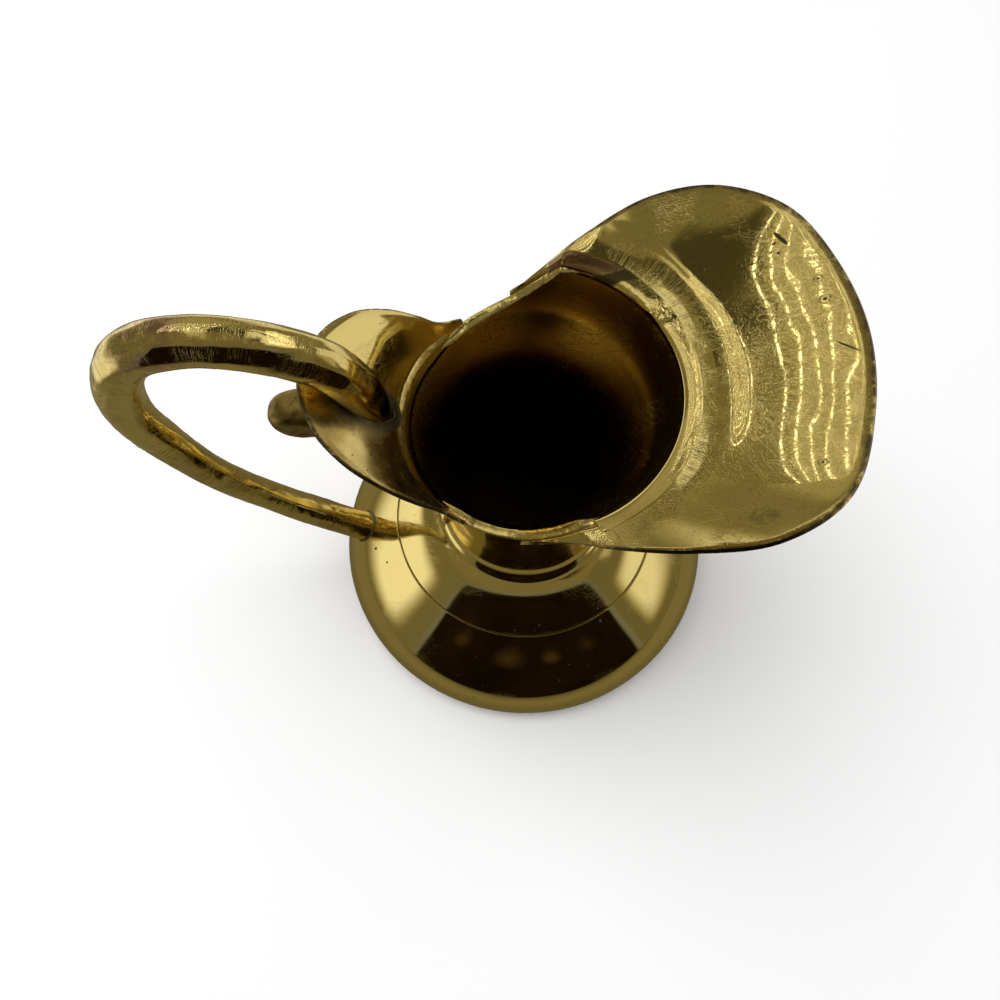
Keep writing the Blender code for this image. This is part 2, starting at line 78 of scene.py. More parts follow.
# Rim of the rear lobe from its side end to the middle of the back
LOBE_END = (-17.5, 100.8)
LOBE_RIM = [
    (-23.5, 27.6, 103.2), (-28.4, 27.0, 107.2), (-36.5, 24.9, 113.4), (-44.1, 20.7, 117.9),
    (-50.9, 13.1, 120.5), (-55.2, 0.0, 121.0),
]
LOBE_SEAT = 97.8

# Slope of the lobe along its middle line, steep by the neck and flatter outside
LOBE_FORM = [(36.0, 57.0), (40.0, 56.0), (43.5, 46.0), (48.0, 41.0), (56.0, 38.0)]

# Middle line and thickness of the handle bar: X, Z and diameter
HANDLE_LINE = [
    (-39.8, 101.0, 9.4), (-40.4, 110.0, 10.6), (-42.6, 118.4, 11.6), (-48.5, 128.1, 11.6),
    (-62.7, 136.0, 11.4), (-76.0, 138.1, 11.5), (-88.5, 133.8, 11.6), (-97.0, 122.0, 11.4),
    (-100.2, 107.0, 11.0), (-97.5, 87.5, 10.0), (-92.2, 69.5, 9.2), (-81.9, 52.0, 9.2),
    (-69.9, 35.9, 10.0), (-54.5, 18.0, 10.0),
]

# Heights on the neck: the top of its straight part, and of the fillet below that
STRAIGHT_TOP = 76.0 * MM
FILLET_TOP = 52.0 * MM

# A section of a lapped sheet lies on the neck up to the first share of it, and bends up to the second
LAP_SHARE = 0.10
BEND_SHARE = 0.22
SHORT_LAP = 1.4 * MM
LIFT_STEPS = 60

# Steps along the handle, the share at each end that is fitted to its sheet, and where the spur stands
HANDLE_STEPS = 240
HANDLE_FITTED = 0.12
SPUR_HEIGHT = 105.0 * MM

# Dark marks on the lip: X, Y, length and width in millimetres, turn, and how ragged they are
LIP_MARKS = [
    (61.7, 30.6, 5.2, 0.9, -1.05), (60.3, 29.9, 1.0, 0.7, 0.5), (61.0, 27.2, 0.8, 0.6),
    (59.4, 27.9, 0.6, 0.5), (70.3, -2.3, 5.6, 0.34, -0.90, 0.2),
]

# Faint round marks on the lip: X, Y and width in millimetres
LIP_RINGS = [(67.5, 17.0, 2.0), (68.1, 11.4, 2.6), (61.0, -28.5, 1.9)]

# Depth of the small relief in metres, colours, and how dark the neck's rubbed rim still is
FINE_RELIEF = 0.00006
SOLDER_RELIEF = 0.00011
RUBBED_RIM = 0.12
BLACK = (0.0, 0.0, 0.0)
WHITE = (1.0, 1.0, 1.0)
WARM_WHITE = (1.0, 0.99, 0.95)
# Near-black brown: painted shade deep in the throat, inside the body and on the base's inner face
PAINTED_SHADE_BROWN = (0.010, 0.006, 0.003)

# The tent: its sides, front and back, and top
TENT_X = (-0.26, 0.26)
TENT_Y = (-0.20, 0.30)
TENT_TOP = 0.35

# Lights in the tent's dark opening: X, Z, size and level
ROOM_LIGHTS = [
    (-0.135, 0.112, 0.030, 0.035), (-0.032, 0.092, 0.036, 0.035), (0.040, 0.092, 0.024, 0.045),
    (0.120, 0.100, 0.030, 0.015),
]

# Rows of small lamps in the ceiling: X of the first row and step to the next, for each group
LAMP_ROWS = [(-0.076, -0.0200), (0.063, 0.0098)]
LAMP_ROW_COUNT = 8
LAMP_DOTS = 40
LAMP_HALF = 0.0013
LAMP_STRETCH = 1.8

# Floor, softbox and camera; the camera's place is in millimetres
FLOOR_HALF = 3.0
SOFTBOX_PLACE = (-0.35, 0.30, 1.60)
SOFTBOX_SIZE = 1.5
CAMERA_PLACE = (-8.26, -93.99, 273.91)
CAMERA_DOWN = math.radians(68.0)
CAMERA_ROLL = math.radians(-1.938)
CAMERA_LENS = 27.036
CAMERA_SENSOR = 36.0


def length_setting(name, text, value):
    """A setting in metres."""
    return FloatProperty(name=name, description=text, default=value, unit="LENGTH")


def colour_setting(name, text, value):
    """A setting that is a colour."""
    return FloatVectorProperty(name=name, description=text, subtype="COLOR", size=3, default=value)


def level_setting(name, text, value):
    """A setting for a light, which can't be negative."""
    return FloatProperty(name=name, description=text, default=value, min=0.0)


# Settings that a user would change
class PitcherSizes(bpy.types.PropertyGroup):
    """Main sizes of the pitcher."""
    body_radius: length_setting("Body radius", "Widest radius of the body", 0.0654)
    foot_edge: length_setting("Foot edge", "Radius of the rounded foot edge", 0.0065)
    base_seam: length_setting("Base seam", "Radius where the base disc is set in", 0.0546)
    seam_radius: length_setting("Seam radius", "Radius of the shoulder seam", 0.0439)
    seam_height: length_setting("Seam height", "Height of the shoulder seam", 0.0312)
    seam_slope: FloatProperty(name="Seam slope", description="Slope of the dome at the seam",
                              default=math.radians(37.0), subtype="ANGLE")
    neck_radius: length_setting("Neck radius", "Outer radius of the straight neck", 0.0247)
    neck_top_radius: length_setting("Mouth radius", "Outer radius at the top of the flare", 0.0383)
    neck_top: length_setting("Mouth height", "Height of the top of the flare", 0.1136)
    sheet: length_setting("Sheet", "Thickness of the brass sheet", 0.0010)
    joint: length_setting("Joint gap", "Clearance between joined pieces", 0.0003)
    lap: length_setting("Lap", "Overlap of the lip and lobe on the neck", 0.0042)
    rounding: length_setting("Edge rounding", "Rounding of the sheet's edges", 0.00028)
    dent_depth: length_setting("Hammer depth", "Depth of the hammer marks on the lip", 0.000010)
    dent_size: length_setting("Hammer size", "Spacing of the hammer marks", 0.0062)
    turn_steps: IntProperty(name="Turning steps", description="Steps round the turned pieces",
                            default=192, min=24)


class PitcherFinish(bpy.types.PropertyGroup):
    """Colours of the metal."""
    bright: colour_setting("Polished brass", "Brass where it is rubbed clean", (0.86, 0.69, 0.26))
    aged: colour_setting("Aged brass", "Brass with its brown film", (0.42, 0.30, 0.12))
    oxide: colour_setting("Oxide", "Purplish brown of edges and pits", (0.065, 0.042, 0.030))
    copper: colour_setting("Copper", "Copper colour left by the brazing", (0.72, 0.34, 0.20))
    solder: colour_setting("Solder", "Grey of the soft solder", (0.24, 0.23, 0.20))


class StageLook(bpy.types.PropertyGroup):
    """Floor and light."""
    floor: colour_setting("Floor", "Colour of the floor", (0.97, 0.97, 0.97))
    sky: level_setting("Surround", "Level of the soft light from all sides", 0.42)
    key: level_setting("Softbox", "Power of the softbox at the upper left", 23.0)
    walls: level_setting("Tent walls", "Level of the tent's walls in the metal", 0.17)
    wall_glow: level_setting("Wall glow", "Level of the lit part of the side walls", 0.95)
    lamp_rows: level_setting("Lamp rows", "Level of the small lamps in the ceiling", 4.2)


def sizes():
    return bpy.context.scene.pitcher_sizes


def finish_colours():
    return bpy.context.scene.pitcher_finish


# Curves
def bezier(start, pull_a, pull_b, end, pieces):
    """Points on a cubic curve in the plane of radius and height, with both ends."""
    points = []
    for k in range(pieces + 1):
        t = k / pieces
        u = 1.0 - t
        points.append(start * (u ** 3) + pull_a * (3 * u * u * t) + pull_b * (3 * u * t * t)
                      + end * (t ** 3))
    return points


def slope_step(angle, length):
    """A step that rises at an angle from outward."""
    return Vector((math.cos(angle) * length, math.sin(angle) * length))


def smooth_through(knots, count, square_start=False, square_end=False):
    """A smooth line through knots in millimetres. A square end crosses the plane Y = 0 squarely."""
    line = [Vector(k) for k in knots]
    flip = Vector((1.0, -1.0, 1.0))
    before = line[1] * flip if square_start else line[0] * 2.0 - line[1]
    after = line[-2] * flip if square_end else line[-1] * 2.0 - line[-2]
    padded = [before] + line + [after]
    times = [0.0]
    for a, b in zip(padded, padded[1:]):
        times.append(times[-1] + (b - a).length)
    slopes = [None]
    for k in range(1, len(padded) - 1):
        slopes.append((padded[k + 1] - padded[k - 1]) / (times[k + 1] - times[k - 1]))
    points = []
    for n in range(count + 1):
        time = times[1] + (times[-2] - times[1]) * n / count
        k = 1
        while k < len(padded) - 3 and time > times[k + 1]:
            k += 1
        span = times[k + 1] - times[k]
        t = (time - times[k]) / span
        value = padded[k] * (2 * t**3 - 3 * t**2 + 1)
        value += slopes[k] * span * (t**3 - 2 * t**2 + t)
        value += padded[k + 1] * (3 * t**2 - 2 * t**3)
        value += slopes[k + 1] * span * (t**3 - t**2)
        points.append(value)
    return points


def reading(table, x):
    """Straight-line reading of a rising table of pairs."""
    if x <= table[0][0]:
        return table[0][1]
    for (x0, y0), (x1, y1) in zip(table, table[1:]):
        if x <= x1:
            return y0 + (y1 - y0) * (x - x0) / max(x1 - x0, 1e-12)
    return table[-1][1]


def ease(t):
    """Smooth step from 0 to 1."""
    t = max(0.0, min(1.0, t))
    return t * t * (3.0 - 2.0 * t)


# Outlines of the turned pieces
def dome_outline(pieces):
    """Outer line of the body from the seam down to the turned-in bottom."""
    s = sizes()
    seam = Vector((s.seam_radius, s.seam_height)) + slope_step(-s.seam_slope, s.joint * 0.7)
    widest = Vector((s.body_radius, s.foot_edge))
    points = bezier(seam, seam + slope_step(-s.seam_slope, 12.0 * MM), widest + Vector((0.0, 9.0 * MM)),
                    widest, pieces)
    for k in range(1, 17):
        turn = math.pi / 2.0 * k / 16
        centre = s.body_radius - s.foot_edge
        points.append(Vector((centre + s.foot_edge * math.cos(turn), s.foot_edge * (1.0 - math.sin(turn)))))
    points.append(Vector((s.base_seam, 0.0)))
    return points


def flare_outline(pieces):
    """Outer line of the neck's flare from its top down to the straight neck."""
    s = sizes()
    top = Vector((s.neck_top_radius, s.neck_top))
    middle = Vector((33.4 * MM, 98.2 * MM))
    start = Vector((s.neck_radius, STRAIGHT_TOP))
    rise = math.radians(56.6)
    points = bezier(top, top + slope_step(math.radians(74.8), -5.0 * MM), middle + slope_step(rise, 4.0 * MM),
                    middle, pieces)
    points += bezier(middle, middle + slope_step(rise, -7.0 * MM), start + Vector((0.0, 9.0 * MM)),
                     start, pieces)[1:]
    return points


def shoulder_outline(pieces):
    """Outer line from the foot of the straight neck out to the shoulder seam."""
    s = sizes()
    fillet_top = Vector((s.neck_radius, FILLET_TOP))
    flat = Vector((29.5 * MM, 39.9 * MM))
    seam = Vector((s.seam_radius, s.seam_height))
    fall = math.radians(12.0)
    points = bezier(fillet_top, fillet_top - Vector((0.0, 7.5 * MM)), flat + slope_step(-fall, -3.0 * MM),
                    flat, pieces)
    points += bezier(flat, flat + slope_step(-fall, 5.0 * MM), seam + slope_step(-s.seam_slope, -5.0 * MM),
                     seam, pieces)[1:]
    return points


def flare_table():
    """Height and outer radius of the neck, from low to high."""
    s = sizes()
    rising = [(p.y, p.x) for p in reversed(flare_outline(24))]
    return [(FILLET_TOP, s.neck_radius)] + rising


def neck_edge_line():
    """The neck's upper edge from the side as a fine table of X and height."""
    edge = [(x * MM, z * MM) for x, z in NECK_EDGE]
    smooth = smooth_through([(x, 0.0, z) for x, z in edge[1:-1]], 60)
    return [edge[0]] + [(p.x, p.z) for p in smooth] + [edge[-1]]


def waist_height(angle, table, edge):
    """Height of the neck's upper edge at an angle round the axis."""
    height = sizes().neck_top
    for _ in range(6):
        x = reading(table, height) * math.cos(angle)
        height = reading(edge, x)
    return height


# Mesh helpers
def link_mesh(name, mesh):
    """Make the finished bmesh an object of the scene."""
    data = bpy.data.meshes.new(name)
    mesh.to_mesh(data)
    mesh.free()
    obj = bpy.data.objects.new(name, data)
    bpy.context.scene.collection.objects.link(obj)
    return obj


def add_piece(name, mesh, nodes):
    """Make the finished bmesh an object that stands for its solids."""
    obj = link_mesh(name, mesh)
    for polygon in obj.data.polygons:
        polygon.use_smooth = True
    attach(obj, "root")
    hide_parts(*nodes)
    return obj


def add_square(mesh, half, matrix):
    """Add a flat square to a bmesh, half its side from its middle to its edge."""
    bmesh.ops.create_grid(mesh, x_segments=1, y_segments=1, size=half, matrix=matrix)


def give_sheet(obj, rounding, other_side=False):
    """Thickness away from the visible face, and rounded edges."""
    wall = obj.modifiers.new("Sheet", "SOLIDIFY")
    wall.material_offset = 1 if other_side else 0
    wall.thickness = sizes().sheet
    wall.offset = -1.0
    wall.use_even_offset = True
    wall.use_quality_normals = True
    edge = obj.modifiers.new("Edges", "BEVEL")
    edge.width = rounding
    edge.segments = 3
    edge.limit_method = "ANGLE"
    edge.angle_limit = math.radians(50.0)
    edge.use_clamp_overlap = True


def spin_outline(outline, steps):
    """Turn an outline round the Z axis into an open skin that faces outward."""
    mesh = bmesh.new()
    chain = [mesh.verts.new((p.x, 0.0, p.y)) for p in outline]
    for a, b in zip(chain, chain[1:]):
        mesh.edges.new((a, b))
    bmesh.ops.spin(mesh, geom=mesh.verts[:] + mesh.edges[:], cent=(0, 0, 0), axis=(0, 0, 1), dvec=(0, 0, 0),
                   angle=math.tau, steps=steps, use_merge=True)
    bmesh.ops.remove_doubles(mesh, verts=mesh.verts[:], dist=1e-7)
    mesh.normal_update()
    probe = max(mesh.faces, key=lambda f: f.calc_center_median().xy.length)
    if probe.normal.xy.dot(probe.calc_center_median().xy) < 0.0:
        bmesh.ops.reverse_faces(mesh, faces=mesh.faces[:])
    return mesh


def skin_grid(across, along, place, extra_name=None, extra=None):
    """A grid of faces, each point of which is moved to its place on a skin."""
    mesh = bmesh.new()
    bmesh.ops.create_grid(mesh, x_segments=across, y_segments=along, size=0.5)
    layer = mesh.verts.layers.float.new(extra_name) if extra_name else None
    for vert in mesh.verts:
        u = vert.co.x + 0.5
        v = vert.co.y + 0.5
        if layer:
            vert[layer] = extra(u, v)
        vert.co = place(u, v)
    mesh.normal_update()
    return mesh


def face_outward(mesh):
    """Turn the faces of a closed mesh outward."""
    mesh.normal_update()
    bmesh.ops.recalc_face_normals(mesh, faces=mesh.faces[:])
    if mesh.calc_volume(signed=True) < 0.0:
        bmesh.ops.reverse_faces(mesh, faces=mesh.faces[:])
    mesh.normal_update()
    return mesh


def bar_mesh(sides, rings, place, extra_name=None, extra=None):
    """A closed bar made from a cylinder whose points are moved to their places."""
    mesh = bmesh.new()
    bmesh.ops.create_cone(mesh, cap_ends=True, segments=sides, radius1=1.0, radius2=1.0, depth=1.0)
    standing = [e for e in mesh.edges if abs(e.verts[0].co.z - e.verts[1].co.z) > 0.5]
    bmesh.ops.subdivide_edges(mesh, edges=standing, cuts=rings, use_grid_fill=True)
    layer = mesh.verts.layers.float.new(extra_name) if extra_name else None
    for vert in mesh.verts:
        t = vert.co.z + 0.5
        turn = math.atan2(vert.co.y, vert.co.x)
        if layer:
            vert[layer] = extra(t, turn)
        vert.co = place(t, turn)
    return face_outward(mesh)


def wobble(place, size, depth, seed):
    """A gentle random rise and fall over a surface."""
    shifted = place / size + Vector((seed, seed * 1.7, seed * 0.3))
    return noise.noise(shifted) * depth


def dish(place, size, seed):
    """Shallow round dishes side by side, 0 in the middle of each and 1 at their ridges."""
    shifted = place / size + Vector((seed, seed * 0.6, 0.0))
    nearest = noise.voronoi(shifted)[0]
    return min(1.0, nearest[0] ** 2 * 1.6)


# Shader tools
class Wire:
    """A shader value that can be used in sums."""

    def __init__(self, paint, socket):
        self.paint = paint
        self.socket = socket

    def _sum(self, operation, first, second, third=None, clamp=False):
        values = {0: first, 1: second}
        if third is not None:
            values[2] = third
        return self.paint.node("Math", {"operation": operation, "use_clamp": clamp}, values)

    def __add__(self, other):
        return self._sum("ADD", self, other)

    def __radd__(self, other):
        return self._sum("ADD", other, self)

    def __sub__(self, other):
        return self._sum("SUBTRACT", self, other)

    def __rsub__(self, other):
        return self._sum("SUBTRACT", other, self)

    def __mul__(self, other):
        return self._sum("MULTIPLY", self, other)

    def __rmul__(self, other):
        return self._sum("MULTIPLY", other, self)

    def __truediv__(self, other):
        return self._sum("DIVIDE", self, other)

    def __pow__(self, other):
        return self._sum("POWER", self, other)

    def at_least(self, other):
        return self._sum("MAXIMUM", self, other)

    def at_most(self, other):
        return self._sum("MINIMUM", self, other)

    def turn_with(self, x):
        return self._sum("ARCTAN2", self, x)

    def size(self):
        return self._sum("ABSOLUTE", self, 0.0)

    def clamped(self):
        return self._sum("ADD", self, 0.0, clamp=True)


class Paint:
    """The node tree of one finish, or of the surround."""

    def __init__(self, name, world=False):
        self.owner = (bpy.data.worlds if world else bpy.data.materials).new(name)
        self.owner.use_nodes = True
        self.tree = self.owner.node_tree
        self.shader = self.tree.nodes["Background" if world else "Principled BSDF"]
        self.place = self.node("TexCoord", {}, {}, "Object")
        self.colour = self.rough = self.height = None

    def node(self, kind, settings, sockets, output=0):
        """Add a node: its settings first, then the values or links of its sockets."""
        made = self.tree.nodes.new("ShaderNode" + kind)
        for key, value in settings.items():
            setattr(made, key, value)
        for key, value in sockets.items():
            self.feed(made.inputs[key], value)
        return Wire(self, made.outputs[output])

    def feed(self, socket, value):
        """Link a wire to a socket, or set the socket's own value."""
        if isinstance(value, Wire):
            self.tree.links.new(value.socket, socket)
        elif hasattr(value, "__len__") and len(value) == 3 and len(socket.default_value) == 4:
            socket.default_value = (*value, 1.0)
        else:
            socket.default_value = value

    def set(self, **sockets):
        """Feed the shader's own sockets, with underscores for spaces."""
        for key, value in sockets.items():
            self.feed(self.shader.inputs[key.replace("_", " ")], value)

    def mix(self, factor, first, second):
        """Blend two colours."""
        return self.node("Mix", {"data_type": "RGBA"}, {0: factor, 6: first, 7: second}, 2)

    def layer(self, mask, share, colour, rough=0.0, height=0.0):
        """Lay a colour over the finish where the mask is, with a change of roughness and relief."""
        self.colour = self.mix(mask * share, self.colour, colour)
        if rough:
            self.rough = self.rough + mask * rough
        if height:
            self.height = self.height + mask * height

    def settle(self, relief=FINE_RELIEF):
        """Feed the worked-out metal to the shader."""
        bump = self.node("Bump", {}, {"Height": self.height, "Distance": relief, "Strength": 1.0})
        self.set(Base_Color=self.colour, Metallic=1.0, Roughness=self.rough.clamped(), Normal=bump)
        return self

    def stretch(self, x, y, z, turn=(0.0, 0.0, 0.0)):
        """The place, turned and then stretched."""
        turned = self.node("Mapping", {"vector_type": "POINT"}, {"Vector": self.place, "Rotation": turn})
        return self.node("VectorMath", {"operation": "MULTIPLY"}, {0: turned, 1: (x, y, z)})

    def cloud(self, scale, detail=4.0, rough=0.55, warp=0.0, place=None):
        """Soft random pattern from 0 to 1."""
        return self.node("TexNoise", {"noise_dimensions": "3D"},
                         {"Vector": place or self.place, "Scale": scale, "Detail": detail,
                          "Roughness": rough, "Distortion": warp}, "Fac")

    def band(self, value, low, high, to_low=0.0, to_high=1.0):
        """Smooth change between two levels of a value."""
        return self.node("MapRange", {"interpolation_type": "SMOOTHSTEP"},
                         {"Value": value, "From Min": low, "From Max": high, "To Min": to_low,
                          "To Max": to_high})

    def fall(self, value, low, high):
        """Smooth change from 1 below to 0 above."""
        return self.band(value, low, high, 1.0, 0.0)

    def window(self, value, rise, full, still_full, fallen):
        """1 between the two inner levels of a value, and 0 outside the outer ones."""
        return self.band(value, rise, full) * self.fall(value, still_full, fallen)

    def hairs(self, place, scale, width):
        """Fine lines: 1 on the line and 0 beside it."""
        level = self.cloud(scale, 2.0, 0.4, 0.3, place)
        return self.fall((level - 0.5).size(), 0.0, width)

    def pits(self, scale, size, share):
        """Scattered round pits: 1 inside and 0 outside."""
        settings, sockets = {"feature": "F1"}, {"Vector": self.place, "Scale": scale}
        cell = self.node("TexVoronoi", settings, sockets, "Distance")
        tint = self.node("TexVoronoi", settings, sockets, "Color")
        chance, spread = (self.node("SeparateColor", {}, {0: tint}, index) for index in (0, 1))
        inside = self.fall(cell / ((spread * 0.7 + 0.3) * size), 0.7, 1.0)
        return inside * self.band(chance, 1.0 - share - 0.02, 1.0 - share)

    def axes(self):
        """The three coordinates of the place."""
        first = self.node("SeparateXYZ", {}, {0: self.place})
        return [Wire(self, socket) for socket in first.socket.node.outputs]

    def from_axis(self):
        """Distance from the axis of the body."""
        x, y, _ = self.axes()
        return (x * x + y * y) ** 0.5

    def polar(self, turns, rings):
        """A place in turns round the axis and distance from it, for marks left by turning."""
        x, y, z = self.axes()
        sockets = {0: y.turn_with(x) * turns, 1: self.from_axis() * rings, 2: z * rings}
        return self.node("CombineXYZ", {}, sockets)

    def mark(self, x_mm, y_mm, long_mm, wide_mm, turn=0.0, ragged=0.35):
        """A ragged oval at a place seen from above: 1 inside and 0 outside."""
        x, y, _ = self.axes()
        across, along = x - x_mm * MM, y - y_mm * MM
        u = (across * math.cos(turn) + along * math.sin(turn)) * (2.0 / (long_mm * MM))
        v = (along * math.cos(turn) - across * math.sin(turn)) * (2.0 / (wide_mm * MM))
        uneven = (self.cloud(1300.0, 3.0, 0.6) - 0.5) * (2.0 * ragged)
        return self.fall((u * u + v * v) ** 0.5 + uneven, 0.80, 1.05)

    def own(self, name):
        """The piece's own stored value."""
        return self.node("Attribute", {"attribute_type": "GEOMETRY", "attribute_name": name}, {}, "Fac")


def brass_finish(name, film, pitted, scratched, polish, turned_marks=0.0, rim=None,
                 tint=(1.0, 1.0, 1.0), radial=0.0, grain=0.0, edge_dark=1.0):
    """Worn brass: film, stains, pits, hairlines, turning marks and edge oxide, each in its own amount."""
    colours = finish_colours()
    p = Paint(name)
    clean, aged = (tuple(c * t for c, t in zip(one, tint)) for one in (colours.bright, colours.aged))
    oxide = tuple(colours.oxide)
    broad, fine, dust = p.cloud(34.0, 5.0, 0.6, 0.6), p.cloud(260.0, 6.0, 0.65), p.cloud(1500.0, 3.0, 0.6)
    p.colour = clean
    p.rough = dust * 0.01 + polish
    p.height = fine * 0.04 + dust * 0.008

    filmed = p.band(broad * 0.7 + fine * 0.3, 0.62 - film * 0.24, 0.80 - film * 0.16)
    p.layer(filmed, 0.55 * film, aged, rough=0.07 * film)
    stained = p.band(p.cloud(95.0, 6.0, 0.7, 1.2), 0.60, 0.72) * (0.35 * film)
    p.layer(stained, 1.0, aged, rough=0.16)
    hairs = p.hairs(p.stretch(30.0, 900.0, 900.0, (0.2, 0.1, 0.5)), 1.0, 0.012)
    hairs = hairs.at_least(p.hairs(p.stretch(700.0, 24.0, 700.0, (0.3, 0.4, -0.3)), 1.0, 0.010))
    hairs = hairs.at_least(p.hairs(p.stretch(26.0, 26.0, 1100.0, (0.7, 0.2, 1.1)), 1.0, 0.010))
    hairs = (hairs * p.band(p.cloud(70.0, 3.0), 0.45, 0.62) * scratched).clamped()
    p.layer(hairs, 0.25, clean, rough=0.10, height=-0.16)
    if grain:
        mottle = p.cloud(2300.0, 2.0, 0.6) * 0.6 + p.cloud(900.0, 4.0, 0.7) * 0.4
        specks = p.band(mottle, 0.50, 0.66)
        p.layer(specks, 0.55 * grain, aged, rough=0.05 * grain, height=-0.07 * grain)
    if radial:
        ring = p.window(p.from_axis(), 41.5 * MM, 43.5 * MM, 46.5 * MM, 49.0 * MM)
        where = p.band(p.cloud(110.0, 3.0), 0.40, 0.52) * ring * radial
        spokes = (p.hairs(p.polar(150.0, 26.0), 1.0, 0.030) * where).clamped()
        p.layer(spokes, 0.6, aged, rough=0.2, height=-0.7)
    if turned_marks:
        lines = p.cloud(1.0, 3.0, 0.6, place=p.polar(3.0, 2600.0))
        p.height = p.height + lines * (0.5 * turned_marks)
        p.rough = p.rough + lines * (0.05 * turned_marks)
    if rim:
        distance = p.own(rim)
        ragged = p.cloud(420.0, 5.0, 0.7) * (1.6 * MM)
        near = p.band(distance + ragged * 2.0, 1.5 * MM, 5.0 * MM, edge_dark, 0.0)
        edge = p.band(distance + ragged, 1.0 * MM, 1.9 * MM, edge_dark, 0.0)
        edge = edge * p.band(p.cloud(260.0, 5.0, 0.7), 0.38, 0.50, 0.25, 1.0)
        p.layer(near, 0.30, aged, rough=0.05)
        p.layer(edge, 0.85, oxide, rough=0.30)
        p.height = p.height + p.cloud(700.0, 4.0, 0.7) * edge * 0.9
    dark = (p.pits(210.0, 0.13, pitted * 0.30) + p.pits(620.0, 0.16, pitted * 0.22) * 0.8).clamped()
    p.layer(dark, 1.0, oxide, rough=0.4, height=-1.2)
    return p


def body_finish():
    """Polished dome, clean but for a few pits."""
    return brass_finish("body_worn_brass", film=0.30, pitted=0.30, scratched=0.4, polish=0.045,
                        turned_marks=0.05).settle()


def neck_finish():
    """Outside of the neck, with faint turning lines."""
    return brass_finish("neck_worn_brass", film=0.5, pitted=0.4, scratched=0.5, polish=0.07,
                        turned_marks=0.25, rim="rim", edge_dark=RUBBED_RIM).settle()


def throat_height(p):
    """Height with an uneven edge, read as higher towards the lobe and the lip, where the painted shade of the
    throat starts lower.
    """
    x, _, z = p.axes()
    uneven = p.cloud(60.0, 4.0, 0.6) * (10.0 * MM)
    lobe_side = p.band(x, -26.0 * MM, -8.0 * MM, 7.0 * MM, 0.0)
    return z + uneven + lobe_side + p.band(x, 6.0 * MM, 22.0 * MM, 0.0, 8.0 * MM)


def inside_finish():
    """Inside of the neck and body: brown film with painted shade, darker on the lobe side and deepening down
    the throat to near black, clearing to gold at the rubbed mouth.
    """
    p = brass_finish("inside_brown_brass", film=1.1, pitted=0.8, scratched=1.0, polish=0.16,
                     turned_marks=0.9, rim="rim", tint=(0.85, 0.72, 0.45), edge_dark=RUBBED_RIM)
    x, _, z = p.axes()
    height = throat_height(p)
    scuff = p.cloud(300.0, 5.0, 0.7) * (3.4 * MM)
    # The rubbed band at the mouth's rim is kept out of the painted shade
    rubbed = p.band(p.own("rim") + scuff, 2.4 * MM, 5.6 * MM, 0.92, 0.0) * p.band(z, 92.0 * MM, 95.0 * MM)
    painted_shade_share = 1.0 - rubbed
    # Painted shade: the throat is darker on its lobe side
    p.layer(p.band(x, -2.0 * MM, 17.0 * MM, 0.62, 0.0) * painted_shade_share, 1.0, (0.13, 0.065, 0.020))
    # Painted shade: darker down the throat, to near black low in the neck and inside the body
    p.layer(p.fall(height, 88.0 * MM, 112.0 * MM) * painted_shade_share, 0.75, (0.20, 0.105, 0.030))
    p.layer(p.fall(height, 70.0 * MM, 100.0 * MM) * painted_shade_share, 0.9, (0.055, 0.028, 0.010), rough=0.22)
    p.layer(p.fall(height, 48.0 * MM, 82.0 * MM), 0.95, PAINTED_SHADE_BROWN, rough=0.15)
    return p.settle()


def lip_finish():
    """Hammered lip: grainy and scratched, with spokes by the bend, dark marks and one stain."""
    p = brass_finish("lip_hammered_brass", film=0.55, pitted=0.45, scratched=0.9, polish=0.020,
                     rim="rim", tint=(0.97, 0.98, 0.96), radial=1.0, grain=0.75)
    first, *others = LIP_MARKS
    dark = p.mark(*first)
    for one in others:
        dark = dark.at_least(p.mark(*one))
    for x, y, wide in LIP_RINGS:
        ring = p.mark(x, y, wide, wide, 0.0, 0.12) - p.mark(x, y, wide * 0.72, wide * 0.72, 0.0, 0.12)
        dot = p.mark(x, y, wide * 0.30, wide * 0.30, 0.0, 0.3)
        dark = dark.at_least(ring.clamped() * 0.30).at_least(dot)
    stain = p.mark(47.3, -39.5, 6.5, 4.6, 0.3, 0.5) * p.band(p.cloud(520.0, 4.0, 0.7), 0.36, 0.60)
    p.layer(stain, 0.55, (0.22, 0.19, 0.10), rough=0.16)
    p.layer(dark, 0.95, tuple(finish_colours().oxide), rough=0.4, height=-1.5)
    return p.settle()


def lobe_finish():
    """Pitted lobe with a mottled grey patch of solder under the bar, and satin on its near side."""
    p = brass_finish("lobe_pitted_brass", film=0.45, pitted=1.3, scratched=0.6, polish=0.06, rim="rim",
                     tint=(1.0, 0.98, 0.95))
    x, y, _ = p.axes()
    across, along = x + 42.5 * MM, y + 2.0 * MM
    ragged = (across * across + along * along * 0.8) ** 0.5 + p.cloud(230.0, 5.0, 0.7) * (9.0 * MM)
    mottled = p.mix(p.band(p.cloud(500.0, 4.0, 0.7), 0.4, 0.6), (0.30, 0.27, 0.17), (0.20, 0.21, 0.18))
    p.layer(p.fall(ragged, 9.0 * MM, 13.5 * MM), 0.8, mottled, rough=0.30)
    satin = p.fall(y, -9.0 * MM, -3.0 * MM) * p.cloud(180.0, 4.0, 0.6)
    p.rough = p.rough + satin * 0.34
    return p.settle()


